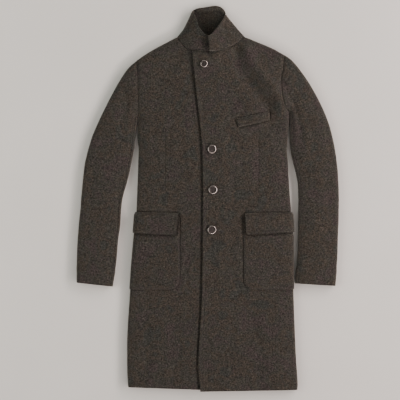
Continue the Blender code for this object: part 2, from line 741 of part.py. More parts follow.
def chest_welt(material):
    """The slanted welt of the breast pocket, on the left front."""
    inner = np.linspace(WELT.inner_low, WELT.inner_high, WELT_ROWS + 1)
    outer = np.linspace(WELT.outer_low, WELT.outer_high, WELT_ROWS + 1)
    grid = [np.linspace(a, b, WELT_COLUMNS + 1) for a, b in zip(inner, outer)]
    sheet = Sheet(front_lift, proud=lambda points: nothing(points) + LAY_GAP + WELT_WALL)
    sheet.add(grid, upper=True)
    return cloth("chest_welt", sheet, material, wall=WELT_WALL)


def button_mesh(diameter, material):
    """A turned button with a raised rim round a dished middle, and four holes through it."""
    bm = bmesh.new()
    radius = diameter / 2
    profile = [bm.verts.new((p.share * radius * METRE, 0, p.height * METRE)) for p in BUTTON_PROFILE]
    edges = [bm.edges.new(pair) for pair in zip(profile, profile[1:])]
    bmesh.ops.spin(
        bm, geom=profile + edges, cent=(0, 0, 0), axis=(0, 0, 1), dvec=(0, 0, 0),
        angle=2 * math.pi, steps=BUTTON_SIDES, use_merge=True, use_duplicate=False,
    )
    bmesh.ops.remove_doubles(bm, verts=bm.verts, dist=0.01 * METRE)
    bmesh.ops.recalc_face_normals(bm, faces=bm.faces)
    blank = finished("button_blank", bm, material)
    drills = bmesh.new()
    height = 3 * max(p.height for p in BUTTON_PROFILE)
    for i in range(4):
        angle = math.pi / 2 * (i + 0.5)
        place = Matrix.Translation(
            (HOLE_FROM_MIDDLE / math.sqrt(2) * math.copysign(METRE, math.cos(angle)),
             HOLE_FROM_MIDDLE / math.sqrt(2) * math.copysign(METRE, math.sin(angle)), 0)
        )
        bmesh.ops.create_cone(
            drills, cap_ends=True, segments=HOLE_SIDES, radius1=HOLE_RADIUS * METRE,
            radius2=HOLE_RADIUS * METRE, depth=height * METRE, matrix=place,
        )
    drill = finished("button_drill", drills, material)
    cut = blank.modifiers.new("holes", "BOOLEAN")
    cut.object = drill
    graph = bpy.context.evaluated_depsgraph_get()
    mesh = bpy.data.meshes.new_from_object(blank.evaluated_get(graph))
    for helper in (blank, drill):
        bpy.data.objects.remove(helper)
    return mesh


def buttons(material):
    """The front's buttons, each square to the cloth under it."""
    meshes = {}
    for i, button in enumerate(BUTTONS):
        if button.diameter not in meshes:
            meshes[button.diameter] = button_mesh(button.diameter, material)
        face, normal = upper_face(np.array([[button.x, button.y]]), front_lift)
        piece = bpy.data.objects.new(f"button_{i + 1}", meshes[button.diameter])
        piece.location = (face[0] + BUTTON_CLEAR * normal[0]) * METRE
        piece.rotation_mode = "QUATERNION"
        piece.rotation_quaternion = Vector(normal[0]).to_track_quat("Z", "Y")
        bpy.context.scene.collection.objects.link(piece)


def stand_on_origin():
    """Moves every piece so that the middle of the coat's base is at the origin."""
    bpy.context.view_layer.update()
    pieces = [o for o in bpy.data.objects if o.type == "MESH"]
    corners = np.array([piece.matrix_world @ v.co for piece in pieces for v in piece.data.vertices])
    low, high = corners.min(axis=0), corners.max(axis=0)
    for piece in pieces:
        piece.location -= Vector(((low[0] + high[0]) / 2, (low[1] + high[1]) / 2, low[2]))


def main():
    for old in list(bpy.data.objects):
        bpy.data.objects.remove(old)
    wool = surface("boiled_wool", COAT_BROWN, 0.9)
    back(wool)
    front("left", front_lift, wool)
    front("right", nothing, wool)
    for s in SIDES:
        sleeve(s, wool)
        pocket(s, wool)
        flap(s, wool)
    collar(wool)
    chest_welt(wool)
    buttons(surface("horn", HORN_BROWN, 0.3))
    stand_on_origin()


main()
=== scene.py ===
import math
from collections import namedtuple

import bpy
import numpy as np
from mathutils import Matrix, Vector


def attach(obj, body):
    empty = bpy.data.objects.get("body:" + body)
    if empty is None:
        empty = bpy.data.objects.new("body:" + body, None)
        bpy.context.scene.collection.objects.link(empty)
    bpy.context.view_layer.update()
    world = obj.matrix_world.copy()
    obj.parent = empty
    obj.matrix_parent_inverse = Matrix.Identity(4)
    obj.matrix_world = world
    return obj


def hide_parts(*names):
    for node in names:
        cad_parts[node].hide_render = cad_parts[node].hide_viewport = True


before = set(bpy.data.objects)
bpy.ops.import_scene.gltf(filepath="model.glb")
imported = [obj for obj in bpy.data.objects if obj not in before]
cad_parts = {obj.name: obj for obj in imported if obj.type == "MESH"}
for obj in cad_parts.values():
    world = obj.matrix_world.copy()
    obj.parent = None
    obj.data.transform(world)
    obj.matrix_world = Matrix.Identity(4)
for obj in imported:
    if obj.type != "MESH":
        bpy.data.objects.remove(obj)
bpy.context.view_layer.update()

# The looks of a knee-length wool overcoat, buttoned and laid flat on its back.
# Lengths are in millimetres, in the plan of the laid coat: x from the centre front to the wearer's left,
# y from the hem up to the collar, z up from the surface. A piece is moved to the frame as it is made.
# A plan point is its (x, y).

METRE = 0.001
PLAN_TO_FRAME = np.array([11.246, -567.099, 0.007])  # from a place in the plan to the same one in the frame
SIDES = ("left", "right")
TOWARD = {"left": 1, "right": -1}  # the sign of x on each side

# Cloth
WALL = 2.4  # boiled wool
COLLAR_WALL = 4.0  # two layers
FLAP_WALL = 3.6
WELT_WALL = 3.2
LAY_GAP = 0.4  # between a panel and what is sewn on it
OVERLAP_GAP = 0.6  # between the two fronts, and the two ends of the collar
FRONT_SETTLES = (1, 32)  # how far past the under front's edge the upper one comes down beside it
COLLAR_SETTLES = (8, 44)  # where the collar's left end comes down beside its right one
EDGE_SPRING = 1.6  # how far the upper front's edge springs off the under one
COLLAR_SPRING = 5.0
SPRING_REACH = 14.0

# Folds at the sides, shoulders and sleeves
FOLD_RADIUS = 10.0
FOLD_STEPS = 6  # to a quarter of the fold
SEAM_INSET = 14.0  # side, shoulder and back sleeve seams lie this far in, on the underside
INSEAM = 8.0  # from the sleeve's inner edge, on the upper side
EDGE_EASE = 15.0  # how far in from a fold the cloth takes up its loft

# How high the cloth lofts inside its folds
HEM_LOFT = 5.0
CHEST_LOFT = 10.0
LOFT_REACH = 60.0
HEM_TO_CHEST = 700.0

# Rows and columns of the cloth, 3 to 4 mm apart, and closer along its edges and stitched lines
EDGE_STOPS = [0, 0.35, 0.8, 1.3, 2.2]
STITCHED_STOPS = [3.6, 5.0, 6.0, 7.0, 8.0, 9.0, 10.6]
SIDE_ROWS = [78, 15, 56, 15, 104]  # to and across a pocket's bottom and a flap's top, and to the armpit
ARMHOLE_POINTS = 38
SLEEVE_ROWS = 180
SLEEVE_PIVOT = 0.26  # share of the outer edge whose rows all start at the armpit
COLLAR_ROWS = 40
BACK_NECK_STEPS = 56
FAN_STEPS = 8
NECK_STEPS = 28
SHOULDER_STEPS = 34
LAPEL_STEPS = {"left": 12, "right": 4}
DART_BAND = {"left": (12, 38), "right": (42, 64)}  # along the shoulder, over the dart
DART_PITCH = 1.3
ROW_BAND = 9.0  # on each side of a pocket's bottom or a flap's top

# Outline of the laid coat, hem or cuff upwards, then over the shoulder
SIDE = {
    "left": [
        (253.5, 2), (254.5, 20), (248.7, 109), (242.5, 268), (240.5, 340), (240, 445), (236, 500),
        (233.5, 545), (229, 605), (225, 676), (222.5, 712), (225.5, 755), (228.8, 790), (229.5, 823),
    ],
    "right": [
        (-247, 10), (-249.5, 60), (-249.5, 162), (-243, 268), (-235.5, 375), (-229.5, 445), (-223, 520),
        (-219.5, 605), (-217, 676), (-216, 712), (-219.5, 742), (-219.5, 775), (-217.4, 808),
    ],
}
SLEEVE_INNER = {
    "left": [
        (247.2, 317), (248, 339), (251.6, 375), (254.6, 445), (255.5, 534), (254.6, 605), (248.7, 640),
        (239.8, 676), (233.3, 708), (229.8, 755), (230.6, 790), (229.5, 823),
    ],
    "right": [
        (-293.2, 307.7), (-288, 339), (-282.3, 375), (-276.4, 445), (-270, 490), (-267.6, 534), (-263, 569),
        (-253, 605), (-244, 640), (-237, 676), (-229.8, 711), (-225.5, 745), (-221.5, 775), (-217.4, 808),
    ],
}
SLEEVE_OUTER = {
    "left": [
        (364.9, 309.5), (371.5, 390), (373.6, 460), (376, 534), (375.5, 605), (370, 676), (358, 746),
        (343, 799), (319.5, 853), (290, 906), (266, 941), (237, 976.6), (214, 992.6),
    ],
    "right": [
        (-398.5, 319), (-398.5, 400), (-394, 480), (-388.5, 534), (-382.6, 605), (-374, 676), (-355, 746),
        (-332.5, 799.5), (-288.2, 888), (-256, 941), (-241, 959), (-223.3, 974),
    ],
}
SHOULDER = {
    "left": [(214, 992.6), (177.9, 1012.2), (136.6, 1029.6), (98, 1045)],
    "right": [(-223.3, 974), (-197, 993), (-165, 1011.9), (-132, 1029.6), (-102, 1045)],
}
COLLAR_SIDE = {
    "left": [(98, 1045), (83.5, 1061.5), (65, 1083), (51.5, 1099.5), (42, 1113)],
    "right": [(-102, 1045), (-82.7, 1070), (-69.5, 1096), (-57, 1124)],
}

# Seams, from the armpit up, and from each end of the collar round to the shoulder
ARMHOLE = {
    "left": [(229.5, 823), (218, 837), (208.5, 873), (206, 929), (211, 955), (214, 992.6)],
    "right": [(-217.4, 808), (-218, 850), (-218.5, 930), (-223.3, 974)],
}
NECK = {
    "left": [(-6, 1001.5), (12.7, 1003), (37, 1009.5), (62, 1019), (80, 1030.5), (98, 1045)],
    "right": [(6, 1000.5), (-20, 1000.5), (-55, 1003), (-74, 1012), (-89, 1027), (-102, 1045)],
}
BACK_NECK = [(98, 1045), (75, 1036.5), (40, 1028), (-2, 1025), (-44, 1028), (-79, 1036.5), (-102, 1045)]

# Free edges: each front from the hem up, with the top of its overlap, and the collar
FRONT_EDGE = {
    "left": [
        (-33.5, -2.4), (-39.5, 76), (-37, 136), (-29.5, 268), (-25.7, 519), (-26, 608), (-28.5, 726),
        (-39.2, 829), (-50.7, 929), (-57, 1004.5),
    ],
    "right": [(31, 1), (30, 300), (32, 594), (30, 714), (25, 850), (18, 1000.5)],
}
OVERLAP_TOP = {
    "left": [(-57, 1004.5), (-30, 1004.8), (-6, 1001.5)],
    "right": [(18, 1000.5), (12, 1000.5), (6, 1000.5)],
}
COLLAR_END = {
    "left": [(-6, 1001.5), (-8.5, 1022), (-11, 1047)],
    "right": [(6, 1000.5), (6, 1019), (6, 1038)],
}
COLLAR_MOUTH = {
    "left": [(-11, 1047), (-0.3, 1054), (12.7, 1069), (27.4, 1088), (36.5, 1104), (42, 1113)],
    "right": [(6, 1038), (-9.7, 1047), (-25, 1058), (-37.5, 1074.4), (-45, 1098), (-57, 1124)],
}
COLLAR_BACK = [
    (42, 1113), (38, 1124), (27.4, 1133), (12, 1136.8), (-6, 1134.5), (-26, 1131.6), (-42, 1130),
    (-57, 1124),
]

# Soft ridges and troughs of the upper side, each along a line of plan points
Crease = namedtuple("Crease", "height reach line")
CREASES = [
    Crease(15.0, 62.0, [(-3, 1032), (-3, 1060)]),  # the raised mouth of the collar
    Crease(6.0, 150.0, [(-60, 840), (70, 840)]),
    # from the collar across the left chest to below the arm
    Crease(-9.0, 17.0, [(70, 1004), (80, 956), (100, 915), (128, 880), (160, 846), (178, 790)]),
    Crease(9.5, 18.0, [(103, 1008), (123, 970), (145, 938), (172, 908), (197, 874), (212, 840)]),
    Crease(-5.5, 15.0, [(112, 922), (150, 868), (182, 830), (200, 796)]),
    Crease(-2.4, 16.0, [(150, 800), (168, 770), (186, 752)]),
    # off the left armhole down the sleeve
    Crease(-3.4, 7.0, [(214, 908), (228, 866), (248, 832), (258, 800), (264, 766), (268, 742)]),
    Crease(2.0, 9.0, [(214, 885), (232, 840), (245, 800), (251, 765)]),
    Crease(-1.8, 11.0, [(288, 812), (297, 760), (303, 700)]),
    Crease(-2.0, 18.0, [(104, 776), (137, 711), (168, 620)]),
    # below the collar and off the right shoulder
    Crease(-3.0, 16.0, [(-86, 1008), (-118, 955), (-160, 905)]),
    Crease(-1.6, 10.0, [(-70, 1004), (-66, 950), (-60, 880)]),
    Crease(-1.8, 12.0, [(-195, 289), (-192, 62)]),
    Crease(-2.8, 13.0, [(-252, 880), (-262, 800), (-266, 750)]),
    Crease(1.6, 10.0, [(-236, 870), (-243, 800)]),
    Crease(-1.5, 9.0, [(-222, 812), (-200, 790), (-176, 782)]),
    Crease(-1.5, 9.0, [(224, 800), (205, 770), (186, 745)]),
    # the sleeves' elbows and forearms
    Crease(-2.5, 14.0, [(-262, 640), (-330, 612)]),
    Crease(2.0, 16.0, [(-300, 560), (-372, 520)]),
    Crease(-1.6, 10.0, [(-276, 560), (-318, 548)]),
    Crease(-1.4, 12.0, [(-352, 640), (-362, 560), (-366, 470)]),
    Crease(-2.0, 14.0, [(280, 600), (340, 566)]),
    Crease(2.0, 15.0, [(300, 500), (362, 470)]),
    Crease(-1.7, 9.0, [(258, 636), (292, 640)]),
    Crease(-1.4, 12.0, [(342, 640), (350, 540), (348, 430)]),
    # the waist, the buttons' pull and the skirt
    Crease(-1.6, 16.0, [(70, 640), (60, 560)]),
    Crease(-1.2, 8.0, [(16, 712), (64, 726), (100, 722)]),
    Crease(-1.1, 8.0, [(18, 592), (70, 584)]),
    Crease(-1.2, 9.0, [(14, 476), (58, 466), (82, 452)]),
    Crease(-1.3, 10.0, [(-224, 640), (-180, 628), (-150, 632)]),
    Crease(-1.3, 10.0, [(226, 634), (190, 620), (160, 624)]),
    Crease(-1.8, 20.0, [(120, 250), (140, 30)]),
    Crease(-1.5, 18.0, [(-100, 230), (-112, 20)]),
    Crease(1.4, 22.0, [(60, 300), (66, 20)]),
    Crease(1.3, 24.0, [(196, 280), (206, 30)]),
]

# Patch pockets: the inner edge, the mouth and bottom, and the inner bottom corner's radius
Pocket = namedtuple("Pocket", "inner_x mouth bottom corner")
POCKETS = {"left": Pocket(94.7, 514, 299.7, 27), "right": Pocket(-95.3, 514, 299.7, 30)}
POCKET_ROWS = 60
POCKET_COLUMNS = 42
POCKET_WRAP = 45.0  # degrees below the fold's middle, where it meets the side seam

# Pocket flaps: the inner edge's two ends, the levels at the side fold, and the corner's radius
Flap = namedtuple("Flap", "top_x top_y low_x low_y side_top side_low corner")
FLAPS = {
    "left": Flap(97.5, 525, 102.5, 461, 527.5, 469, 9),
    "right": Flap(-98.8, 525, -105.3, 460.5, 528, 466, 9),
}
FLAP_ROWS = 24
FLAP_CLIMB = (1, 9)  # where it climbs from the front onto the pocket, from its top edge
FLAP_WRAP = 30.0
FLAP_SPRING = 2.2  # how far its free edge stands off the pocket
FLAP_SPRING_REACH = 9.0

# Breast pocket's welt, by its corners
Welt = namedtuple("Welt", "inner_low inner_high outer_low outer_high")
WELT = Welt((79, 778), (70.5, 802.4), (172, 799.8), (169.9, 824.5))

# The buttons' middles and diameters, and how many degrees each is turned
Button = namedtuple("Button", "x y diameter turn")
BUTTONS = [
    Button(-22.4, 965.6, 21.5, -12), Button(0.9, 713.9, 25.5, -3), Button(3.5, 593.8, 25.5, 6),
    Button(0.6, 475.5, 25.5, 15),
]
BUTTON_CLEAR = 0.8  # between a button's back and the cloth


def smooth(table, per_span=6):
    """A smooth curve through the table's points, as many closely spaced ones."""
    points = np.array(table, float)
    if len(points) == 2:
        shares = np.linspace(0, 1, per_span + 1)[:, None]
        return points[0] * (1 - shares) + points[1] * shares
    knots = runs(points)
    slopes = np.empty_like(points)
    slopes[1:-1] = (points[2:] - points[:-2]) / (knots[2:] - knots[:-2])[:, None]
    slopes[0] = (points[1] - points[0]) / (knots[1] - knots[0])
    slopes[-1] = (points[-1] - points[-2]) / (knots[-1] - knots[-2])
    curve = []
    for i in range(len(points) - 1):
        span = knots[i + 1] - knots[i]
        for t in np.linspace(0, 1, per_span, endpoint=False):
            curve.append(
                (2 * t**3 - 3 * t**2 + 1) * points[i]
                + (t**3 - 2 * t**2 + t) * span * slopes[i]
                + (3 * t**2 - 2 * t**3) * points[i + 1]
                + (t**3 - t**2) * span * slopes[i + 1]
            )
    curve.append(points[-1])
    return np.array(curve)


def runs(points):
    """How far along a line each of its points is."""
    return np.concatenate([[0], np.cumsum(np.linalg.norm(np.diff(points, axis=0), axis=1))])


def along(curve, distances):
    """The curve's points at these distances from its start."""
    run = runs(curve)
    distances = np.asarray(distances, float)
    return np.stack([np.interp(distances, run, curve[:, k]) for k in (0, 1)], axis=1)


def evenly(curve, steps):
    return along(curve, np.linspace(0, runs(curve)[-1], steps + 1))


def left_normals(curve):
    """Unit vectors to the left of each of a curve's points, looking along it."""
    ahead = np.diff(curve, axis=0)
    ahead /= np.linalg.norm(ahead, axis=1)[:, None]
    ahead = np.concatenate([ahead[:1], ahead[:-1] + ahead[1:], ahead[-1:]])
    ahead /= np.linalg.norm(ahead, axis=1)[:, None]
    return np.stack([-ahead[:, 1], ahead[:, 0]], axis=1)


# Distances in from a fold at which the cloth has a row of points
QUARTER = [FOLD_RADIUS * (1 - math.cos(math.pi / 2 * i / FOLD_STEPS)) for i in range(FOLD_STEPS + 1)]
FOLD_STOPS = QUARTER + [SEAM_INSET]
INSEAM_STOPS = sorted(FOLD_STOPS + [INSEAM + beside for beside in (-0.4, 0, 0.4, 1.0)])
INSEAM_AT = INSEAM_STOPS.index(INSEAM)


def curves(table, step=1):
    """Both sides' curves through a table's points, in their order, or backwards with a step of -1."""
    return {s: smooth(table[s])[::step] for s in SIDES}


side_curve = curves(SIDE)
inner_curve = curves(SLEEVE_INNER, -1)
outer_curve = curves(SLEEVE_OUTER, -1)
shoulder_curve = curves(SHOULDER, -1)
collar_curve = curves(COLLAR_SIDE)
armhole_curve = curves(ARMHOLE)
neck_curve = curves(NECK)
front_edge = curves(FRONT_EDGE)
mouth_curve = curves(COLLAR_MOUTH)
collar_end = curves(COLLAR_END)

PART = 3000  # points worked on at a time
ON_LINE = 0.01  # a point this near to a line is on it


def from_steps(points, start, step):
    """The share of each step at which it is nearest to each point, and the way from there to the point."""
    gap = points[:, None, :] - start
    share = np.clip((gap * step).sum(2) / (step**2).sum(1), 0, 1)
    return share, gap - share[:, :, None] * step


class Folds:
    """The lines at which the cloth turns under, each with its cloth on the left of it."""

    def __init__(self, lines):
        self.start = np.concatenate([line[:-1] for line, _ in lines])
        self.step = np.concatenate([np.diff(line, axis=0) for line, _ in lines])
        self.normal_start = np.concatenate([normals[:-1] for _, normals in lines])
        self.normal_end = np.concatenate([normals[1:] for _, normals in lines])

    def at(self, points):
        """How far each point is from the nearest fold, and which way leads away from that fold."""
        parts = [self.of_some(points[i : i + PART]) for i in range(0, len(points), PART)]
        return [np.concatenate(column) for column in zip(*parts)]

    def of_some(self, points):
        share, away = from_steps(points, self.start, self.step)
        distance = np.linalg.norm(away, axis=2)
        nearest = distance.argmin(axis=1)
        row = np.arange(len(points))
        distance, away, share = distance[row, nearest], away[row, nearest], share[row, nearest][:, None]
        on_fold = self.normal_start[nearest] * (1 - share) + self.normal_end[nearest] * share
        on_fold /= np.linalg.norm(on_fold, axis=1)[:, None]
        radial = away / np.maximum(distance, 1e-9)[:, None]
        return distance, np.where(distance[:, None] < ON_LINE, on_fold, radial)


def fold_lines():
    """The folds of both sides; at the armpit the cloth leads away straight up."""
    lines = []
    for s in SIDES:
        outline = np.concatenate([outer_curve[s][::-1][:-1], shoulder_curve[s][::-1][:-1], collar_curve[s]])
        for line in (outline, side_curve[s], inner_curve[s]):
            line = line[:: TOWARD[s]]
            normals = left_normals(line)
            armpit = np.linalg.norm(line - side_curve[s][-1], axis=1) < ON_LINE
            normals[armpit] = (0, 1)
            lines.append((line, normals))
    return Folds(lines)


folds = fold_lines()


def line_distance(points, line):
    """Each point's distance from a line of plan points."""
    line = np.array(line, float)
    found = []
    for i in range(0, len(points), PART):
        _, away = from_steps(points[i : i + PART], line[:-1], np.diff(line, axis=0))
        found.append(np.linalg.norm(away, axis=2).min(axis=1))
    return np.concatenate(found)


def rise(value, start, end):
    """0 before start, 1 after end, and a smooth rise between them."""
    t = np.clip((value - start) / (end - start), 0, 1)
    return t * t * (3 - 2 * t)


def bell(distance, reach):
    return np.exp(-((distance / reach) ** 2))


def nothing(points):
    return np.zeros(len(points))


# Sewn lines that draw the cloth in: how deep and wide, how much it puckers beside them, and where
Groove = namedtuple("Groove", "depth reach pucker line")
DARTS = {
    "left": [(138, 764), (138.4, 700), (137.6, 640), (138, 587)],
    "right": [(-137.8, 742), (-138.2, 690), (-137.8, 640), (-138.2, 599)],
}
EDGE_STITCH = 7.0  # from the front's free edge
CUFF_TURN = 50.0  # depth of the turned-up cuff
CUFF_BAND = 7.0
SEAM_EASE = 9.0  # how far beside a seam the cloth sinks to it
GROOVE_EASE = 4.0  # how far in from a fold a sewn line has its full depth
PUCKER_REACH = 8.0
SEWN_BESIDE = 1.0  # a pocket's or welt's seam draws the front in this far outside its edge


# Hollows under free edges, which what lies on them doesn't follow, and the roll of the collar's mouth
Hollow = namedtuple("Hollow", "depth reach")
FRONT_HOLLOW = Hollow(2.4, 5.0)
FLAP_HOLLOW = Hollow(3.4, 5.0)
COLLAR_HOLLOW = Hollow(6.5, 20.0)
MOUTH_ROLL = Hollow(-1.2, 2.6)
PUCKERS = [(1.0, 17.0), (0.6, 26.0)]  # share of the height, and length of the wave


def inward_of(s, curve):
    """Unit vectors from one side's fold into the cloth."""
    return TOWARD[s] * left_normals(curve)


def inseam_line(s):
    """Where the sleeve's two pieces meet on its upper side."""
    return inner_curve[s] + INSEAM * inward_of(s, inner_curve[s])


def front_stitch_line():
    edge = front_edge["left"]
    return edge - EDGE_STITCH * left_normals(edge)


def cuff_line(s):
    """Across the sleeve's upper side, at the top of its turned-up cuff."""
    ends = [along(curve[s], [runs(curve[s])[-1] - CUFF_TURN])[0] for curve in (inner_curve, outer_curve)]
    return np.array(ends)


def grooves():
    found = [
        Groove(0.8, 1.8, 0.15, front_stitch_line()),
        Groove(*FRONT_HOLLOW, 0, front_edge["left"]),
        Groove(*COLLAR_HOLLOW, 0, collar_end["left"]),
        Groove(4.4, 3.2, 0.3, welt_outline(-SEWN_BESIDE)),
    ]
    for s in SIDES:
        armhole, neck, mouth = armhole_curve[s], neck_curve[s], mouth_curve[s]
        found += [
            Groove(2.6, SEAM_EASE, 0.6, armhole),
            Groove(1.6, 2.2, 0, armhole),
            Groove(*MOUTH_ROLL, 0, inside_of(mouth, -TOWARD[s] * MOUTH_ROLL.reach)),
            Groove(0.7, 5.0, 0.2, inseam_line(s)),
            Groove(1.5, 1.9, 0.2, DARTS[s]),
            Groove(1.5, 13.0, 0, DARTS[s]),
            Groove(0.5, 1.8, 0.15, cuff_line(s)),
            Groove(4.5, 4.5, 0.2, neck),
            Groove(2.4, 1.8, 0, neck),
            Groove(2.4, 2.8, 0.3, inside_of(edge_line(s, pocket_ends(s)), -TOWARD[s] * SEWN_BESIDE)),
            Groove(2.8, 3.4, 0.3, flap_top(s)),
            Groove(*FLAP_HOLLOW, 0, edge_line(s, flap_ends(s))),
        ]
    return found


def loft(points, lift, distance):
    """How far the upper side stands over the top of its folds."""
    crown = HEM_LOFT + (CHEST_LOFT - HEM_LOFT) * rise(points[:, 1], 0, HEM_TO_CHEST)
    height = crown * (1 - np.exp(-distance / LOFT_REACH))
    for crease in CREASES:
        height += crease.height * bell(line_distance(points, crease.line), crease.reach)
    return (1 - bell(distance, EDGE_EASE)) * height + lift(points)


def sewn(points, distance):
    """How far the sewn lines draw the upper side in."""
    ripple = sum(share * np.sin(2 * math.pi * points.sum(axis=1) / length) for share, length in PUCKERS)
    depth = 0
    for groove in GROOVES:
        gap = line_distance(points, groove.line)
        depth = depth + groove.depth * bell(gap, groove.reach)
        depth += groove.pucker * ripple * bell(gap, PUCKER_REACH) * (1 - bell(gap, groove.reach))
    return depth * (1 - bell(distance, GROOVE_EASE))


# A panel's edge, which turns down over a width
Edge = namedtuple("Edge", "width drop line")
SEAM_TURN = 1.8
ROUNDED = (0.6, 0.5)  # a free edge's width and drop, as shares of its cloth's thickness


def cut_edge(line, thickness=WALL):
    """A free edge, which is rounded."""
    return Edge(ROUNDED[0] * thickness, ROUNDED[1] * thickness, line)


def seam_edge(line):
    """An edge that turns in to the one that it is sewn to."""
    return Edge(SEAM_TURN, SEAM_TURN, line)


def shaped(points, lift=nothing, proud=nothing, edges=(), upper=True):
    """Points on a panel's outer face, proud of the coat's face, with its sewn lines and edges."""
    points = np.asarray(points, float)
    distance, inward = folds.at(points)
    share = np.minimum(distance / FOLD_RADIUS, 1)
    quarter = np.sqrt(1 - (1 - share) ** 2)
    if upper:
        height = FOLD_RADIUS * (1 + quarter) + loft(points, lift, distance) - sewn(points, distance)
    else:
        height = FOLD_RADIUS * (1 - quarter)
    out = proud(points)
    for edge in edges:
        near = np.clip(1 - line_distance(points, edge.line) / edge.width, 0, 1)
        out = out - edge.drop * (1 - np.sqrt(1 - near**2))
    way = np.column_stack([-(1 - share)[:, None] * inward, quarter if upper else -quarter])
    return np.column_stack([points, height]) + out[:, None] * way


def patch(bottom, top, start, end):
    """A plan grid between four lines: rows lead from start's points to end's, the first along bottom."""
    across = (runs(bottom) / runs(bottom)[-1] + runs(top) / runs(top)[-1]) / 2
    up = (runs(start) / runs(start)[-1] + runs(end) / runs(end)[-1]) / 2
    u, v = across[None, :, None], up[:, None, None]
    corners = (
        (1 - u) * (1 - v) * bottom[0] + u * (1 - v) * bottom[-1] + (1 - u) * v * top[0] + u * v * top[-1]
    )
    return (
        (1 - v) * bottom[None] + v * top[None] + (1 - u) * start[:, None] + u * end[:, None] - corners
    )


def from_both_ends(curve, first_stops, steps, last_stops):
    """Points at stops from each end of a curve and evenly spaced between them."""
    length = runs(curve)[-1]
    middle = np.linspace(first_stops[-1], length - last_stops[-1], steps + 1)[1:-1]
    return along(curve, [*first_stops, *middle, *(length - d for d in reversed(last_stops))])


def side_stops(s):
    """How far up the side each row is, closer where a pocket's bottom and a flap's top are sewn."""
    run = runs(side_curve[s])
    sewn_at = (POCKETS[s].bottom, FLAPS[s].side_top)
    levels = [level + beside for level in sewn_at for beside in (-ROW_BAND, ROW_BAND)]
    knots = [EDGE_STOPS[-1], *np.interp(levels, side_curve[s][:, 1], run), run[-1]]
    stops = list(EDGE_STOPS)
    for start, end, steps in zip(knots, knots[1:], SIDE_ROWS):
        stops += list(np.linspace(start, end, steps + 1)[1:])
    return stops


def seam_points(s):
    """The points along one side's seams that its panels share."""
    shoulder = shoulder_curve[s]
    evened = np.linspace(0, runs(shoulder)[-1] - QUARTER[-1], SHOULDER_STEPS + 1)
    start, end = DART_BAND[s]
    evened = [d for d in evened if not start - DART_PITCH < d < end + DART_PITCH]
    stops = sorted([*evened, *np.arange(start, end, DART_PITCH)])
    return {
        "armhole": from_both_ends(armhole_curve[s], INSEAM_STOPS, ARMHOLE_POINTS + 1, FOLD_STOPS),
        "neck": from_both_ends(neck_curve[s], EDGE_STOPS, NECK_STEPS, QUARTER),
        "shoulder": along(shoulder, [*stops, *(runs(shoulder)[-1] - d for d in reversed(QUARTER[:-1]))]),
        "side": along(side_curve[s], side_stops(s)),
    }


seams = {s: seam_points(s) for s in SIDES}
back_neck = from_both_ends(smooth(BACK_NECK), FOLD_STOPS, BACK_NECK_STEPS, FOLD_STOPS)
OUTER_SEAM = INSEAM_STOPS.index(SEAM_INSET) + ARMHOLE_POINTS + 1


def neck_end(s):
    """The back neck's points from one shoulder to where that side's shoulder seam meets it."""
    return back_neck[: len(FOLD_STOPS)] if s == "left" else back_neck[::-1][: len(FOLD_STOPS)]


def side_strip(s):
    """Rows of the front's turned-under side, from the hem up and round the armpit to the armhole."""
    edge = seams[s]["side"]
    inward = inward_of(s, edge)
    rows = [[p + d * n for d in INSEAM_STOPS] for p, n in zip(edge, inward)]
    armpit = edge[-1]
    first, last = np.array(rows[-1]) - armpit, seams[s]["armhole"][: len(INSEAM_STOPS)] - armpit
    for step in range(1, FAN_STEPS + 1):
        rows.append([armpit + turned(a, b, step / FAN_STEPS) for a, b in zip(first, last)])
    return np.array(rows)


def turned(a, b, share):
    """A spoke part of the way from one spoke to another."""
    if not a.any():
        return a
    start, length = math.atan2(a[1], a[0]), np.linalg.norm(a)
    turn = (math.atan2(b[1], b[0]) - start + math.pi) % (2 * math.pi) - math.pi
    angle = start + share * turn
    reach = length + share * (np.linalg.norm(b) - length)
    return reach * np.array([math.cos(angle), math.sin(angle)])


def shoulder_strip(s):
    """Rows of the front's turned-under shoulder, from the neck out to the armhole."""
    edge = seams[s]["shoulder"]
    inward = -TOWARD[s] * left_normals(edge)
    rows = [[p + d * n for d in FOLD_STOPS] for p, n in zip(edge, inward)]
    rows[0] = neck_end(s)
    rows[-1] = seams[s]["armhole"][::-1][: len(FOLD_STOPS)]
    return np.array(rows)


def front_lift(points):
    """How far the upper front stands over the under one, whose edge it passes, and off it at its own edge."""
    own, under = (points[:, 0] - np.interp(points[:, 1], *front_edge[s].T[::-1]) for s in SIDES)
    over = (WALL + OVERLAP_GAP) * (1 - rise(under, *FRONT_SETTLES))
    return over + EDGE_SPRING * bell(own, SPRING_REACH) + FRONT_HOLLOW.depth * bell(own, FRONT_HOLLOW.reach)


def collar_lift(points):
    """How far the collar's left end stands over its right end."""
    over = 1 - rise(points[:, 0], *COLLAR_SETTLES)
    gap = line_distance(points, collar_end["left"])
    spring = COLLAR_SPRING * bell(gap, SPRING_REACH) + COLLAR_HOLLOW.depth * bell(gap, COLLAR_HOLLOW.reach)
    return over * (COLLAR_WALL + OVERLAP_GAP + spring)


def to_frame(points):
    return (np.asarray(points) + PLAN_TO_FRAME) * METRE


def alone(*pieces):
    """Selects these pieces and nothing else."""
    bpy.ops.object.select_all(action="DESELECT")
    for piece in pieces:
        piece.select_set(True)
    if pieces:
        bpy.context.view_layer.objects.active = pieces[0]


def linked(name, data):
    piece = bpy.data.objects.new(name, data)
    bpy.context.scene.collection.objects.link(piece)
    return piece


def built(name, points, faces, material):
    """A piece from its points and faces."""
    mesh = bpy.data.meshes.new(name)
    mesh.from_pydata(points.tolist(), [], faces)
    mesh.materials.append(material)
    piece = linked(name, mesh)
    alone(piece)
    return piece


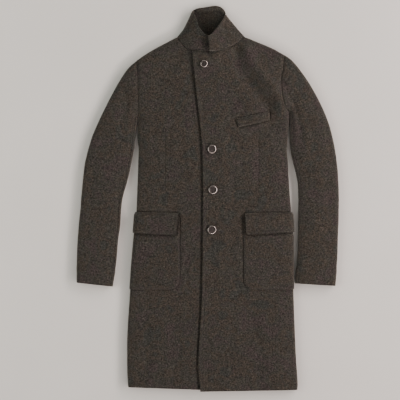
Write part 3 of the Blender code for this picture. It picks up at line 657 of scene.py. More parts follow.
def finished(piece, *materials):
    """Gives a piece these materials and no other."""
    piece.data.materials.clear()
    for material in materials:
        piece.data.materials.append(material)
    alone(piece)


def applied(piece, kind, **settings):
    """Adds a modifier with these settings to a piece and applies it."""
    alone(piece)
    modifier = piece.modifiers.new(kind.lower(), kind)
    for name, value in settings.items():
        setattr(modifier, name, value)
    bpy.ops.object.modifier_apply(modifier=modifier.name)


WELD = 0.00002
SMOOTH_ANGLE = math.radians(50)


def cloth(name, grids, wall, material):
    """A panel: grids of points on its outer face, joined and given a wall's thickness."""
    points, faces = [], []
    start = 0
    for grid in grids:
        rows, columns = grid.shape[:2]
        points.append(grid.reshape(-1, 3))
        at = start + np.arange(rows * columns).reshape(rows, columns)
        quads = np.stack([at[:-1, :-1], at[:-1, 1:], at[1:, 1:], at[1:, :-1]], axis=2)
        faces += quads.reshape(-1, 4).tolist()
        start += rows * columns
    piece = built(name, to_frame(np.concatenate(points)), faces, material)
    bpy.ops.object.mode_set(mode="EDIT")
    bpy.ops.mesh.select_all(action="SELECT")
    bpy.ops.mesh.remove_doubles(threshold=WELD)
    bpy.ops.mesh.normals_make_consistent(inside=False)
    bpy.ops.object.mode_set(mode="OBJECT")
    face_out(piece, down=name == "back_cloth")
    felted(piece)
    applied(piece, "SOLIDIFY", thickness=wall * METRE, offset=-1, use_even_offset=False)
    bpy.ops.object.shade_smooth_by_angle(angle=SMOOTH_ANGLE)
    return piece


def face_out(piece, down):
    """Turns a panel's faces outwards: the highest one up, or on the back the lowest one down."""
    faces = piece.data.polygons
    heights = [face.center.z for face in faces]
    outermost = faces[heights.index(min(heights) if down else max(heights))]
    if (outermost.normal.z < 0) != down:
        piece.data.flip_normals()


# The felted surface is uneven: how wide the lumps are and how high, in metres
Lumps = namedtuple("Lumps", "size height")
FELT = [Lumps(0.035, 0.0009), Lumps(0.009, 0.0004)]


def felted(piece):
    """Makes a panel's face uneven, and keeps what lies on the surface on it."""
    for lumps in FELT:
        clouds = bpy.data.textures.new("felt_lumps", "CLOUDS")
        clouds.noise_scale = lumps.size
        clouds.noise_depth = 2
        applied(piece, "DISPLACE", texture=clouds, texture_coords="LOCAL", strength=lumps.height)
        bpy.data.textures.remove(clouds)
    for vertex in piece.data.vertices:
        vertex.co.z = max(vertex.co.z, 0)


def face_grid(grid, **settings):
    """A grid of plan points raised to a panel's outer face."""
    grid = np.asarray(grid, float)
    return shaped(grid.reshape(-1, 2), **settings).reshape(*grid.shape[:2], 3)


def front(s, lift, material):
    """One front: its upper side with the sides that turn under at the shoulder and below the arm."""
    outer = np.concatenate([seams[s]["side"], seams[s]["armhole"][1:]])
    lapel = from_both_ends(smooth(OVERLAP_TOP[s]), EDGE_STOPS + STITCHED_STOPS, LAPEL_STEPS[s], [0])
    top = np.concatenate([lapel, seams[s]["neck"][1:], seams[s]["shoulder"][1:]])
    edge = front_edge[s]
    edge = along(edge, runs(outer) / runs(outer)[-1] * runs(edge)[-1])
    hem_line = np.array([edge[0], outer[0]])
    width = runs(hem_line)[-1]
    shares = runs(top)[: -len(QUARTER) + 1] / (runs(top)[-1] - QUARTER[-1])
    stops = [*(shares * (width - QUARTER[-1])), *(width - d for d in reversed(QUARTER[:-1]))]
    hem = along(hem_line, stops)
    cuts = [cut_edge(edge), cut_edge(hem), cut_edge(top[: len(lapel)])]
    seamed = [seam_edge(armhole_curve[s]), seam_edge(neck_curve[s])]
    side_edge, shoulder_edge = side_strip(s), shoulder_strip(s)
    grids = [
        face_grid(patch(hem, top, edge, outer), lift=lift, edges=cuts + seamed),
        face_grid(side_edge, edges=[cut_edge(side_edge[0]), *seamed], upper=False),
        face_grid(shoulder_edge, edges=seamed, upper=False),
    ]
    return cloth(f"front_{s}_cloth", grids, WALL, material)


def thinned(points):
    """Every other point of a line, with its last."""
    return points[::2] if len(points) % 2 else np.concatenate([points[::2], points[-1:]])


def back(material):
    """The back, flat on the surface, inside the seams of the fronts and sleeves."""
    ends, shoulders = {}, {}
    for s in SIDES:
        armhole = seams[s]["armhole"][INSEAM_STOPS.index(SEAM_INSET) : OUTER_SEAM + 1]
        ends[s] = thinned(np.array([*side_strip(s)[:, -1], *armhole[1:]]))
        shoulders[s] = shoulder_strip(s)[:, -1]
    neck = back_neck[len(FOLD_STOPS) - 1 : len(back_neck) - len(FOLD_STOPS) + 1]
    top = thinned(np.concatenate([shoulders["left"][::-1], neck[1:-1], shoulders["right"]]))
    bottom = evenly(np.array([ends["left"][0], ends["right"][0]]), len(top) - 1)
    grid = face_grid(patch(bottom, top, ends["left"], ends["right"]), upper=False)
    return cloth("back_cloth", [grid], WALL, material)


def sleeve_shares(s):
    """How far down the sleeve each row is, close together at its armhole, cuff and turned-up hem."""
    length = runs(outer_curve[s])[-1]
    turn = length - CUFF_TURN
    band = np.arange(turn - CUFF_BAND, turn + CUFF_BAND, DART_PITCH)
    evened = np.linspace(EDGE_STOPS[-1], length - EDGE_STOPS[-1], SLEEVE_ROWS)
    evened = [d for d in evened if abs(d - turn) > CUFF_BAND + DART_PITCH]
    ends = [*EDGE_STOPS[:-1], *(length - d for d in EDGE_STOPS[:-1])]
    return np.array(sorted([*ends, *evened, *band])) / length


def sleeve_rows(s):
    """Plan points of a sleeve, the armhole's first, each row from the inner edge to the outer."""
    armhole = seams[s]["armhole"]
    chord = armhole[0] + (runs(armhole) / runs(armhole)[-1])[:, None] * (armhole[-1] - armhole[0])
    inner, outer = inner_curve[s], outer_curve[s]
    rows = [armhole]
    for share in sleeve_shares(s)[1:]:
        start = along(inner, [runs(inner)[-1] * max(0, (share - SLEEVE_PIVOT) / (1 - SLEEVE_PIVOT))])[0]
        end = along(outer, [runs(outer)[-1] * share])[0]
        row = from_both_ends(np.array([start, end]), INSEAM_STOPS, ARMHOLE_POINTS + 1, FOLD_STOPS)
        bow = max(0, 1 - share / SLEEVE_PIVOT) ** 2
        rows.append(row + bow * (armhole - chord))
    return np.array(rows)


CUFF_SWELL = 0.9


def cuff_thickness(s):
    """How far the turned-up cuff stands out."""
    line = cuff_line(s)
    across = (line[1] - line[0]) / np.linalg.norm(line[1] - line[0])
    down = np.array([across[1], -across[0]]) * TOWARD[s]

    def proud(points):
        return CUFF_SWELL * rise((points - line[0]) @ down, -CUFF_BAND, CUFF_BAND)

    return proud


def sleeve(s, material):
    """A sleeve's two pieces, which meet near the inner edge above and near the outer edge below."""
    rows = sleeve_rows(s)
    settings = {
        "proud": cuff_thickness(s),
        "edges": [cut_edge(rows[-1]), seam_edge(armhole_curve[s]), seam_edge(inseam_line(s))],
    }
    below = dict(settings, edges=settings["edges"][:2], upper=False)
    top = [face_grid(rows[:, INSEAM_AT:], **settings), face_grid(rows[:, OUTER_SEAM:], **below)]
    under = [face_grid(rows[:, : INSEAM_AT + 1], **settings), face_grid(rows[:, : OUTER_SEAM + 1], **below)]
    return (
        cloth(f"sleeve_{s}_top_cloth", top, WALL, material),
        cloth(f"sleeve_{s}_under_cloth", under, WALL, material),
    )


# The collar's rim at the back: its stops that the back's left side takes in, and how it curls up
RIM_STOPS = [4.0, 8.0, 12.0, 16.0]
RIM_POINTS = 80
RIM_CURL = 8.0
RIM_INSET = 6.0
RIM_REACH = 6.0


def collar_stops(neck, mouth):
    """Points along the mouth, one for each point of the neck seam, at like shares of its length."""
    share = runs(neck) / runs(neck)[-1]
    return along(mouth, share * runs(mouth)[-1])


def collar(material):
    """The doubled collar: its back below, and its two ends turned over, the left one uppermost."""
    rim = smooth(COLLAR_BACK)
    # the back's left side takes in the first of the rim, which leads on from the fold almost straight
    shoulder = along(rim, [*RIM_STOPS[:-1], *(RIM_STOPS[-1] - d for d in reversed(EDGE_STOPS))])
    steps = {"left": COLLAR_ROWS, "right": COLLAR_ROWS + len(shoulder)}
    folds_in = {s: from_both_ends(collar_curve[s], EDGE_STOPS, steps[s], EDGE_STOPS) for s in SIDES}
    grids = []
    for s in SIDES:
        neck, mouth, front_end = seams[s]["neck"], mouth_curve[s], collar_end[s]
        end = from_both_ends(front_end, EDGE_STOPS, steps[s], EDGE_STOPS)
        grid = patch(neck, collar_stops(neck, mouth), end, folds_in[s])
        edges = [cut_edge(line, COLLAR_WALL) for line in (mouth, front_end, rim)]
        edges.append(seam_edge(neck_curve[s]))
        grids.append(face_grid(grid, lift=collar_lift if s == "left" else nothing, edges=edges))
    top = collar_stops(back_neck, along(rim, np.linspace(RIM_STOPS[-1], runs(rim)[-1], RIM_POINTS)))
    edges = [cut_edge(rim, COLLAR_WALL), *(cut_edge(mouth_curve[s], COLLAR_WALL) for s in SIDES)]

    def curled(points):
        """The back's rim stands off the surface, less so toward the folds."""
        distance, _ = folds.at(points)
        inside = line_distance(points, rim) - RIM_INSET
        return -RIM_CURL * bell(inside, RIM_REACH) * (1 - bell(distance, EDGE_EASE))

    grid = patch(back_neck, top, np.concatenate([folds_in["left"], shoulder]), folds_in["right"])
    grids.append(face_grid(grid, proud=curled, edges=edges, upper=False))
    return cloth("collar_cloth", grids, COLLAR_WALL, material)


def side_x(s, y):
    """Where the side's fold is at a level."""
    return float(np.interp(y, side_curve[s][:, 1], side_curve[s][:, 0]))


POCKET_STITCH = 3.2  # from a pocket's or flap's edge
STITCH_DEPTH = 0.7
STITCH_REACH = 1.3
STITCH_STOPS = [0, 0.35, 0.8, 1.3, 1.9, 2.5, 3.2, 3.9, 4.6, 5.6]
EDGE_POINTS = 30
CORNER_START = 7.0  # rows round a corner from here up, and how far apart
CORNER_STEP = 1.6
WELT_STEP = 2.2
WELT_CLEAR = (2, 1)  # least distance of the rows between from the stitched ones at each end


def wrapped(s, ends, wrap):
    """Plan points from each row's inner end to the side fold, and on the underside past it."""
    upper, under = [], []
    past = [d for d in QUARTER if d < fold_inset(wrap)] + [fold_inset(wrap)]
    for inner, y in ends:
        fold = np.array([side_x(s, y), y])
        row = from_both_ends(np.array([inner, fold]), STITCH_STOPS, POCKET_COLUMNS, QUARTER)
        upper.append(row)
        under.append([fold - (TOWARD[s] * d, 0) for d in past])
    return upper, under


def fold_inset(degrees):
    """How far in from the silhouette the fold is, at an angle below its middle."""
    return FOLD_RADIUS * (1 - math.cos(math.radians(degrees)))


def inside_of(edge, amount):
    """A line inside an edge that runs round its piece with the piece on its left."""
    return edge + amount * left_normals(edge)


def pressed(height, stitch):
    """How far a pocket, flap or welt stands out, drawn in along its stitches."""

    def proud(points):
        raised = height(points) if callable(height) else height
        return raised - STITCH_DEPTH * bell(line_distance(points, stitch), STITCH_REACH)

    return proud


def pocket_ends(s):
    """The inner end of each of a pocket's rows, from the mouth down and round the corner."""
    size = POCKETS[s]
    levels = np.linspace(size.mouth, size.bottom + size.corner, POCKET_ROWS + 1)
    ends = [(np.array([size.inner_x, y]), y) for y in levels]
    for across, up in corner_turns(size.corner):
        y = size.bottom + up
        ends.append((np.array([size.inner_x + TOWARD[s] * across, y]), y))
    return ends


def edge_line(s, ends):
    """The free edge of a pocket or flap, from its inner edge's top to the side fold at its bottom."""
    points = [end for end, _ in ends]
    side = np.array([side_x(s, ends[-1][1]), ends[-1][1]])
    return np.array([*points, *np.linspace(points[-1], side, EDGE_POINTS)[1:]])


def corner_turns(radius):
    """Pairs of how far a round corner's points are from its two edges, closest together at its end."""
    levels = [*STITCH_STOPS, *np.arange(CORNER_START, radius, CORNER_STEP)]
    levels = [up for up in levels if up < radius]
    return [(radius - math.sqrt(radius**2 - (radius - up) ** 2), up) for up in reversed(levels)]


def stitched_on(name, s, ends, height, wall, wrap, material):
    """A pocket or flap that runs into the side seam, with a line of stitches inside its free edge."""
    edge = edge_line(s, ends)
    stitch = inside_of(edge, TOWARD[s] * POCKET_STITCH)
    proud = pressed(height, stitch)
    upper, under = wrapped(s, ends, wrap)
    edges = [cut_edge(edge, wall), cut_edge(np.array([upper[0][0], upper[0][-1]]), wall)]
    grids = [
        face_grid(upper, proud=proud, edges=edges),
        face_grid(under, proud=proud, edges=edges, upper=False),
    ]
    return cloth(name, grids, wall, material), stitch


def pocket(s, material):
    """A patch pocket on a front, round at its inner bottom corner and run into the side seam."""
    ends = pocket_ends(s)
    return stitched_on(f"pocket_{s}_cloth", s, ends, LAY_GAP + WALL, WALL, POCKET_WRAP, material)


def flap_top(s):
    """The line along which a flap is sewn to its front."""
    size = FLAPS[s]
    return np.array([[size.top_x, size.top_y], [side_x(s, size.side_top), size.side_top]])


def flap_ends(s):
    """The inner end of each of a flap's rows, from its top down and round the corner."""
    size = FLAPS[s]
    top, low = np.array([size.top_x, size.top_y]), np.array([size.low_x, size.low_y])
    depth = np.linalg.norm(top - low)
    middle = np.linspace(EDGE_STOPS[-1], depth - size.corner, FLAP_ROWS)[1:-1]
    places = [(run, 0.0) for run in [*EDGE_STOPS, *middle]]
    places += [(depth - up, across) for across, up in corner_turns(size.corner)]
    ends = []
    for run, across in places:
        share = run / depth
        inner = top + (low - top) * share + (TOWARD[s] * across, 0)
        ends.append((inner, size.side_top + (size.side_low - size.side_top) * share))
    return ends


def flap(s, material):
    """A pocket's flap, sewn to the front above the pocket's mouth and lying on the pocket."""
    size, ends = FLAPS[s], flap_ends(s)
    slant = (size.side_top - size.top_y) / (side_x(s, size.side_top) - size.top_x)
    free = edge_line(s, ends)

    def height(points):
        from_top = size.top_y + slant * (points[:, 0] - size.top_x) - points[:, 1]
        over = rise(from_top, *FLAP_CLIMB)
        gap, from_fold = line_distance(points, free), folds.at(points)[0]
        spring = (1 - bell(from_fold, EDGE_EASE)) * FLAP_SPRING * bell(gap, FLAP_SPRING_REACH)
        spring += (1 - bell(from_fold, GROOVE_EASE)) * FLAP_HOLLOW.depth * bell(gap, FLAP_HOLLOW.reach)
        return LAY_GAP + FLAP_WALL + (WALL + LAY_GAP + spring) * over

    return stitched_on(f"flap_{s}_cloth", s, ends, height, FLAP_WALL, FLAP_WRAP, material)


def welt_outline(inset):
    """The welt's corners in turn, each moved in from its two edges."""
    corners = np.array([WELT.inner_low, WELT.outer_low, WELT.outer_high, WELT.inner_high], float)
    moved = []
    for i, corner in enumerate(corners):
        ways = [corners[(i + step) % 4] - corner for step in (1, -1)]
        moved.append(corner + inset * sum(way / np.linalg.norm(way) for way in ways))
    return np.array([*moved, moved[0]])


def stitched_shares(length):
    """Shares of a length, closest together at its two stitched ends."""
    first = STITCH_STOPS[-1]
    middle = np.arange(first + WELT_CLEAR[0], length - first - WELT_CLEAR[1], WELT_STEP)
    return np.array([*STITCH_STOPS, *middle, *(length - d for d in reversed(STITCH_STOPS))]) / length


def chest_welt(material):
    """The slanted welt of the breast pocket, on the left front, stitched all round."""
    inner_low, inner_high, outer_low, outer_high = (np.array(corner) for corner in WELT)
    columns = stitched_shares(np.linalg.norm(outer_low - inner_low))[:, None]
    rows = stitched_shares(np.linalg.norm(inner_high - inner_low))[:, None, None]
    low = inner_low + columns * (outer_low - inner_low)
    high = inner_high + columns * (outer_high - inner_high)
    grid = low + rows * (high - low)
    corners, stitch = welt_outline(0), welt_outline(POCKET_STITCH)
    proud = pressed(LAY_GAP + WELT_WALL, stitch)
    grids = [face_grid(grid, lift=front_lift, proud=proud, edges=[cut_edge(corners, WELT_WALL)])]
    return cloth("chest_welt_cloth", grids, WELT_WALL, material), stitch


# Materials

def linear(hex_colour, alpha=1.0):
    """The linear values of an sRGB colour such as 3f3833."""
    channels = [int(hex_colour[i : i + 2], 16) / 255 for i in (0, 2, 4)]
    return (*(c / 12.92 if c <= 0.04045 else ((c + 0.055) / 1.055) ** 2.4 for c in channels), alpha)


def plug(tree, node, inputs):
    """Puts values, or other nodes' outputs, on a node's inputs."""
    for name, value in inputs.items():
        if isinstance(value, bpy.types.NodeSocket):
            tree.links.new(value, node.inputs[name])
        else:
            node.inputs[name].default_value = value


def add(tree, kind, inputs=None, **settings):
    """Adds a node, with its settings and its inputs."""
    node = tree.nodes.new(kind)
    for name, value in settings.items():
        setattr(node, name, value)
    plug(tree, node, inputs or {})
    return node


def ramp(tree, fac, stops, interpolation="LINEAR"):
    """A colour ramp over these places and colours."""
    node = add(tree, "ShaderNodeValToRGB", {"Fac": fac})
    node.color_ramp.interpolation = interpolation
    elements = node.color_ramp.elements
    while len(elements) < len(stops):
        elements.new(1)
    for element, (place, colour) in zip(elements, stops):
        element.position = place
        element.color = linear(colour)
    return node.outputs["Color"]


def started(name):
    """A new material, its node tree and the place on the object that its patterns read."""
    material = bpy.data.materials.new(name)
    material.use_nodes = True
    tree = material.node_tree
    return material, tree, add(tree, "ShaderNodeTexCoord").outputs["Object"]


def shade(tree, inputs):
    plug(tree, tree.nodes["Principled BSDF"], inputs)


def noise(tree, place, size, detail=2.0, roughness=0.5):
    """Uneven patches about this many metres across."""
    inputs = {"Vector": place, "Scale": 1 / size, "Detail": detail, "Roughness": roughness}
    return add(tree, "ShaderNodeTexNoise", inputs).outputs["Fac"]


def spread(tree, fac, low, high):
    """A noise's middle range, from low to high."""
    inputs = {"Value": fac, "From Min": 0.3, "From Max": 0.7, "To Min": low, "To Max": high}
    return add(tree, "ShaderNodeMapRange", inputs, clamp=False).outputs["Result"]


def times(tree, first, second):
    return add(tree, "ShaderNodeVectorMath", {0: first, 1: second}, operation="MULTIPLY").outputs["Vector"]


def hairs(tree, place, turn, width, length):
    """Fine hairs that lie one way."""
    inputs = {"Vector": place, "Rotation": (0, 0, turn), "Scale": (width, length, width)}
    laid = add(tree, "ShaderNodeMapping", inputs, vector_type="TEXTURE")
    return noise(tree, laid.outputs["Vector"], 1.0)


def boiled_wool():
    """Boiled wool: knitted from mixed brown, grey and olive fleece, shrunk until it felts, and brushed.
    The eye gets a dark grey-brown of small flecks, matt, with pale fuzz where it turns away."""
    material, tree, place = started("boiled_wool_melange")
    # flecks of single fleeces, 4 mm, drawn coarser than the real 2 mm so that they show
    fleeces = [(0.3, "272526"), (0.42, "363132"), (0.5, "30312e"), (0.58, "38342f"), (0.68, "454140")]
    hue = ramp(tree, noise(tree, place, 0.0040), fleeces)
    # tufts of the brushed face, 4.2 mm
    tufts = noise(tree, place, 0.0042, 4.0, 0.7)
    # hairs 0.5 mm wide and 5 mm long, drawn thicker than real ones, curled over 7 mm by up to 6 mm,
    # in two lays that change every 12 mm
    curl = add(tree, "ShaderNodeTexNoise", {"Vector": place, "Scale": 1 / 0.007, "Detail": 1.0})
    inputs = {0: curl.outputs["Color"], 1: (0.006, 0.006, 0.006), 2: place}
    curled = add(tree, "ShaderNodeVectorMath", inputs, operation="MULTIPLY_ADD").outputs["Vector"]
    lays = [hairs(tree, curled, turn, 0.0005, 0.005) for turn in (0.9, -0.6)]
    lay = spread(tree, noise(tree, place, 0.012), -1.0, 2.0)
    fuzz = add(tree, "ShaderNodeMix", {"Factor": lay, "A": lays[0], "B": lays[1]}).outputs["Result"]
    # slow change of shade, 50 mm across, between warm brown and grey-green
    shades = [(0.34, "fdeef0"), (0.46, "eef3ea"), (0.56, "fdf1e2"), (0.66, "e4eee9")]
    drift = ramp(tree, noise(tree, place, 0.05), shades)
    colour = times(tree, hue, spread(tree, tufts, 0.1, 1.9))
    colour = times(tree, colour, spread(tree, fuzz, 0.7, 1.3))
    relief = add(tree, "ShaderNodeMath", {0: tufts, 1: 1.6, 2: fuzz}, operation="MULTIPLY_ADD")
    inputs = {"Height": relief.outputs["Value"], "Strength": 0.7, "Distance": 0.0016}
    shade(tree, {
        "Base Color": times(tree, colour, drift),
        "Normal": add(tree, "ShaderNodeBump", inputs).outputs["Normal"],
        "Roughness": 0.95,
        "Specular IOR Level": 0.2,
        "Sheen Weight": 0.4,
        "Sheen Roughness": 0.4,
        "Sheen Tint": linear("c0bab2"),
    })
    return material


def spun_thread():
    """Spun polyester sewing thread, dyed to the cloth. The eye gets a fine, dull twist."""
    material, tree, place = started("spun_polyester_thread")
    # plies cross the thread every 0.6 mm
    plies = add(tree, "ShaderNodeTexWave", {"Vector": place, "Scale": 500.0, "Distortion": 2.0})
    colour = ramp(tree, plies.outputs["Fac"], [(0.2, "211d1b"), (0.8, "38312d")])
    shade(tree, {"Base Color": colour, "Roughness": 0.6, "Sheen Weight": 0.2})
    return material


def horn(name, streak, colours, gloss):
    """Polished horn, with the streaks of its growth."""
    material, tree, place = started(name)
    streaked = add(tree, "ShaderNodeMapping", {"Vector": place, "Scale": streak}).outputs["Vector"]
    grain = noise(tree, streaked, 1.0, 3.0)
    shade(tree, {"Base Color": ramp(tree, grain, list(zip((0.3, 0.55, 0.75), colours))), **gloss})
    return material


def dyed_horn():
    """Horn dyed dark brown and polished. The eye gets a deep, faintly streaked brown with clear gloss."""
    # streaks 2 mm wide and 11 mm long
    gloss = {"Roughness": 0.3, "Coat Weight": 0.3, "Coat Roughness": 0.12}
    return horn("dyed_polished_horn", (500, 90, 200), ("2c2726", "403a39", "534b49"), gloss)


def pale_horn():
    """The rim: the same horn with a pearly lacquer, buffed. The eye gets a bright pinkish-grey ring."""
    # clouds 3 mm across
    gloss = {"Roughness": 0.25, "Coat Weight": 1.0, "Coat Roughness": 0.1, "Metallic": 0.8}
    return horn("pale_buffed_horn", (330, 330, 330), ("574f4c", "6e6561", "857a76"), gloss)


# Buttons

BUTTON_SIDES = 72
Turn = namedtuple("Turn", "inset rise")  # one cut of the lathe: how far in, and how far up
FRONT_TURNS = [
    Turn(0.3, 0.45), Turn(0.5, 0.34), Turn(0.9, 0.52), Turn(0.6, 0.3), Turn(0.8, 0.06), Turn(0.45, -0.35),
    Turn(0.35, -0.65), Turn(0.35, -0.55), Turn(1.0, -0.12), Turn(2.0, -0.05),
]
BACK_TURNS = [Turn(0.9, 0.9), Turn(2.2, 0.7), Turn(2.5, 0.15)]
BLANK_DEPTH = 1.4  # between the turned front and back
RIM_CUTS = 6  # the cuts that make the pale rim
RIM_LOW = -0.1  # the rim's lower edge, from the blank's middle
HOLE_RADIUS = 1.1
HOLE_FROM_MIDDLE = 3.4
HOLE_AT = HOLE_FROM_MIDDLE / math.sqrt(2)  # each hole's x and y
HOLE_SIDES = 20
DRILL_LENGTH = 20.0
SOFTENED = 0.18  # the polished edges' width
SHARP_EDGE = math.radians(55)
LEVEL = 0.9  # a face whose normal's z is more than this is level
BUTTON_SMOOTH = math.radians(40)


def end_chosen(piece, up):
    """Selects the end face of a blank, at its top (1) or bottom (-1), for cutting."""
    for face in piece.data.polygons:
        face.select = up * face.normal.z > LEVEL and len(face.vertices) > 4
    bpy.ops.object.mode_set(mode="EDIT")


def drill():
    """Four rods where a button's holes go."""
    rods = []
    for x, y in ((1, 1), (-1, 1), (-1, -1), (1, -1)):
        alone()
        bpy.ops.mesh.primitive_cylinder_add(
            vertices=HOLE_SIDES, radius=HOLE_RADIUS * METRE, depth=DRILL_LENGTH * METRE,
            location=(x * HOLE_AT * METRE, y * HOLE_AT * METRE, 0),
        )
        rods.append(bpy.context.object)
    alone(*rods)
    bpy.ops.object.join()
    return bpy.context.object


def turned_button(name, diameter, dish, rim):
    """A button turned from a blank: a raised rim, a dished middle, a domed back and four holes."""
    alone()
    bpy.ops.mesh.primitive_cylinder_add(
        vertices=BUTTON_SIDES, radius=diameter / 2 * METRE, depth=BLANK_DEPTH * METRE, location=(0, 0, 0)
    )
    piece = bpy.context.object
    piece.name = name
    for turns, up in ((FRONT_TURNS, 1), (BACK_TURNS, -1)):
        bpy.ops.object.mode_set(mode="EDIT")
        bpy.ops.mesh.select_mode(type="FACE")
        bpy.ops.object.mode_set(mode="OBJECT")
        end_chosen(piece, up)
        for turn in turns:
            bpy.ops.mesh.inset(thickness=turn.inset * METRE, depth=0)
            bpy.ops.transform.translate(value=(0, 0, up * turn.rise * METRE))
        bpy.ops.mesh.select_all(action="DESELECT")
        bpy.ops.object.mode_set(mode="OBJECT")
    rods = drill()
    applied(piece, "BOOLEAN", object=rods, operation="DIFFERENCE", solver="EXACT")
    bpy.data.objects.remove(rods)
    applied(piece, "BEVEL", width=SOFTENED * METRE, segments=2, limit_method="ANGLE", angle_limit=SHARP_EDGE)
    finished(piece, dish, rim)
    rim_start = diameter / 2 - sum(turn.inset for turn in FRONT_TURNS[:RIM_CUTS])
    for face in piece.data.polygons:
        x, y, z = face.center / METRE
        face.material_index = int(math.hypot(x, y) > rim_start and z > RIM_LOW)
    bpy.ops.object.shade_smooth_by_angle(angle=BUTTON_SMOOTH)
    return piece


STRAND = 0.3  # a strand's radius in the crossed thread
BAR = (-0.42, 0.0, 0.42)  # its strands' places across each bar
BAR_RISE = [(1.0, 1.0, -2.2), (1.0, 1.0, 1.2), (0.6, 1.3, 2.15)]  # along, across and height
SHANK_TURNS = 5
SHANK_RADII = (1.5, 0.35)  # of a turn, and of its thread
SHANK_START = -3.4  # the lowest turn, from the blank's middle
SHANK_PITCH = 0.5


def cross_stitch(name, material):
    """Thread through a button's holes: two bars of three strands."""
    curve = bpy.data.curves.new(name, "CURVE")
    curve.dimensions = "3D"
    curve.bevel_depth = STRAND * METRE
    curve.bevel_resolution = 2
    curve.resolution_u = 5
    curve.use_fill_caps = True
    for y in (-HOLE_AT, HOLE_AT):
        for offset in BAR:
            path = [(-HOLE_AT * reach, y + offset * across, z) for reach, across, z in BAR_RISE]
            path += [(-x, y, z) for x, y, z in reversed(path)]
            spline = curve.splines.new("NURBS")
            spline.points.add(len(path) - 1)
            for point, place in zip(spline.points, path):
                point.co = (*(c * METRE for c in place), 1)
            spline.order_u = 3
            spline.use_endpoint_u = True
    alone(linked(name, curve))
    bpy.ops.object.convert(target="MESH")
    bars = bpy.context.object
    finished(bars, material)
    bpy.ops.object.shade_smooth()
    return bars


def shank(name, material):
    """The thread wound round under the button, as a stack of turns."""
    rings = []
    for i in range(SHANK_TURNS):
        alone()
        bpy.ops.mesh.primitive_torus_add(
            major_segments=20, minor_segments=8,
            major_radius=SHANK_RADII[0] * METRE, minor_radius=SHANK_RADII[1] * METRE,
            location=(0, 0, (SHANK_START + SHANK_PITCH * i) * METRE),
        )
        rings.append(bpy.context.object)
    alone(*rings)
    bpy.ops.object.transform_apply(location=True, rotation=True, scale=True)
    bpy.ops.object.join()
    wound = bpy.context.object
    wound.name = name
    finished(wound, material)
    bpy.ops.object.shade_smooth()
    return wound


def placed(piece, matrix):
    """Moves a piece's mesh, and leaves its object at the origin."""
    piece.data.transform(matrix)
    piece.data.update()


OVER_ALL = 1.0  # metres, over every piece


def on_cloth(piece, points):
    """Where plan points lie on a piece's upper face, in the frame; None where they miss it."""
    bpy.context.view_layer.update()
    down = Vector((0, 0, -1))
    found = []
    for x, y in (np.asarray(points) + PLAN_TO_FRAME[:2]) * METRE:
        hit, spot, _, _ = piece.ray_cast(Vector((x, y, OVER_ALL)), down)
        found.append(spot if hit else None)
    return found


BUTTON_REST = 8.0  # a button's back rests on this much of the cloth, each way from its middle


def buttons(front_piece, dish, rim, thread):
    """The front's buttons, each square to the cloth under it, sewn on with crossed thread."""
    made = []
    for i, button in enumerate(BUTTONS):
        around = BUTTON_REST * np.array([(1, 0), (-1, 0), (0, 1), (0, -1)]) + (button.x, button.y)
        east, west, north, south = on_cloth(front_piece, around)
        normal = (east - west).cross(north - south).normalized()
        low = BLANK_DEPTH / 2 + sum(turn.rise for turn in BACK_TURNS)
        middle = (east + west + north + south) / 4 + (BUTTON_CLEAR + low) * METRE * normal
        turn = Matrix.Rotation(math.radians(button.turn), 4, "Z")
        matrix = Matrix.Translation(middle) @ normal.to_track_quat("Z", "Y").to_matrix().to_4x4() @ turn
        sewing = cross_stitch(f"button_{i + 1}_thread", thread)
        root = shank(f"button_{i + 1}_shank", thread)
        piece = turned_button(f"button_{i + 1}_turned", button.diameter, dish, rim)
        for part in (piece, sewing, root):
            placed(part, matrix)
        made.append((piece, sewing, root))
    return made


# Sewing

# How far apart machine stitches and buttonhole stitches are, and how long and thick
Sewn = namedtuple("Sewn", "pitch length thickness")
TOPSTITCH = Sewn(4.2, 3.2, 0.75)
PURL = Sewn(0.8, 2.2, 0.6)
STRAND_RISE = 0.15  # its middle stands so far over the cloth
SLIT = (-3.0, 24.0)  # a buttonhole's ends, from its button's middle
SLIT_WIDTH = 0.6
FAN = range(-75, 76, 25)  # degrees of the stitches round a buttonhole's end


def strands(name, piece, starts, ends, thickness, material):
    """Spindle-shaped strands of thread on a piece's upper face, one from each start to its end."""
    alone()
    bpy.ops.mesh.primitive_uv_sphere_add(segments=8, ring_count=6, radius=0.5, location=(0, 0, 0))
    one = bpy.context.object
    shape = np.array([vertex.co for vertex in one.data.vertices])
    faces = [list(face.vertices) for face in one.data.polygons]
    bpy.data.objects.remove(one)
    points, joined = [], []
    for a, b in zip(on_cloth(piece, starts), on_cloth(piece, ends)):
        if a and b:
            turn = np.array((b - a).to_track_quat("Z", "Y").to_matrix())
            size = np.array([thickness * METRE, thickness * METRE, (b - a).length])
            middle = np.array((a + b) / 2) + (0, 0, STRAND_RISE * METRE)
            joined += [[v + len(points) * len(shape) for v in face] for face in faces]
            points.append((shape * size) @ turn.T + middle)
    sewing = built(name, np.concatenate(points), joined, material)
    bpy.ops.object.shade_smooth()
    return sewing


def topstitches(name, piece, line, material):
    """A line of machine stitches."""
    starts = np.arange(0, runs(line)[-1] - TOPSTITCH.length, TOPSTITCH.pitch)
    ends = starts + TOPSTITCH.length
    return strands(name, piece, along(line, starts), along(line, ends), TOPSTITCH.thickness, material)


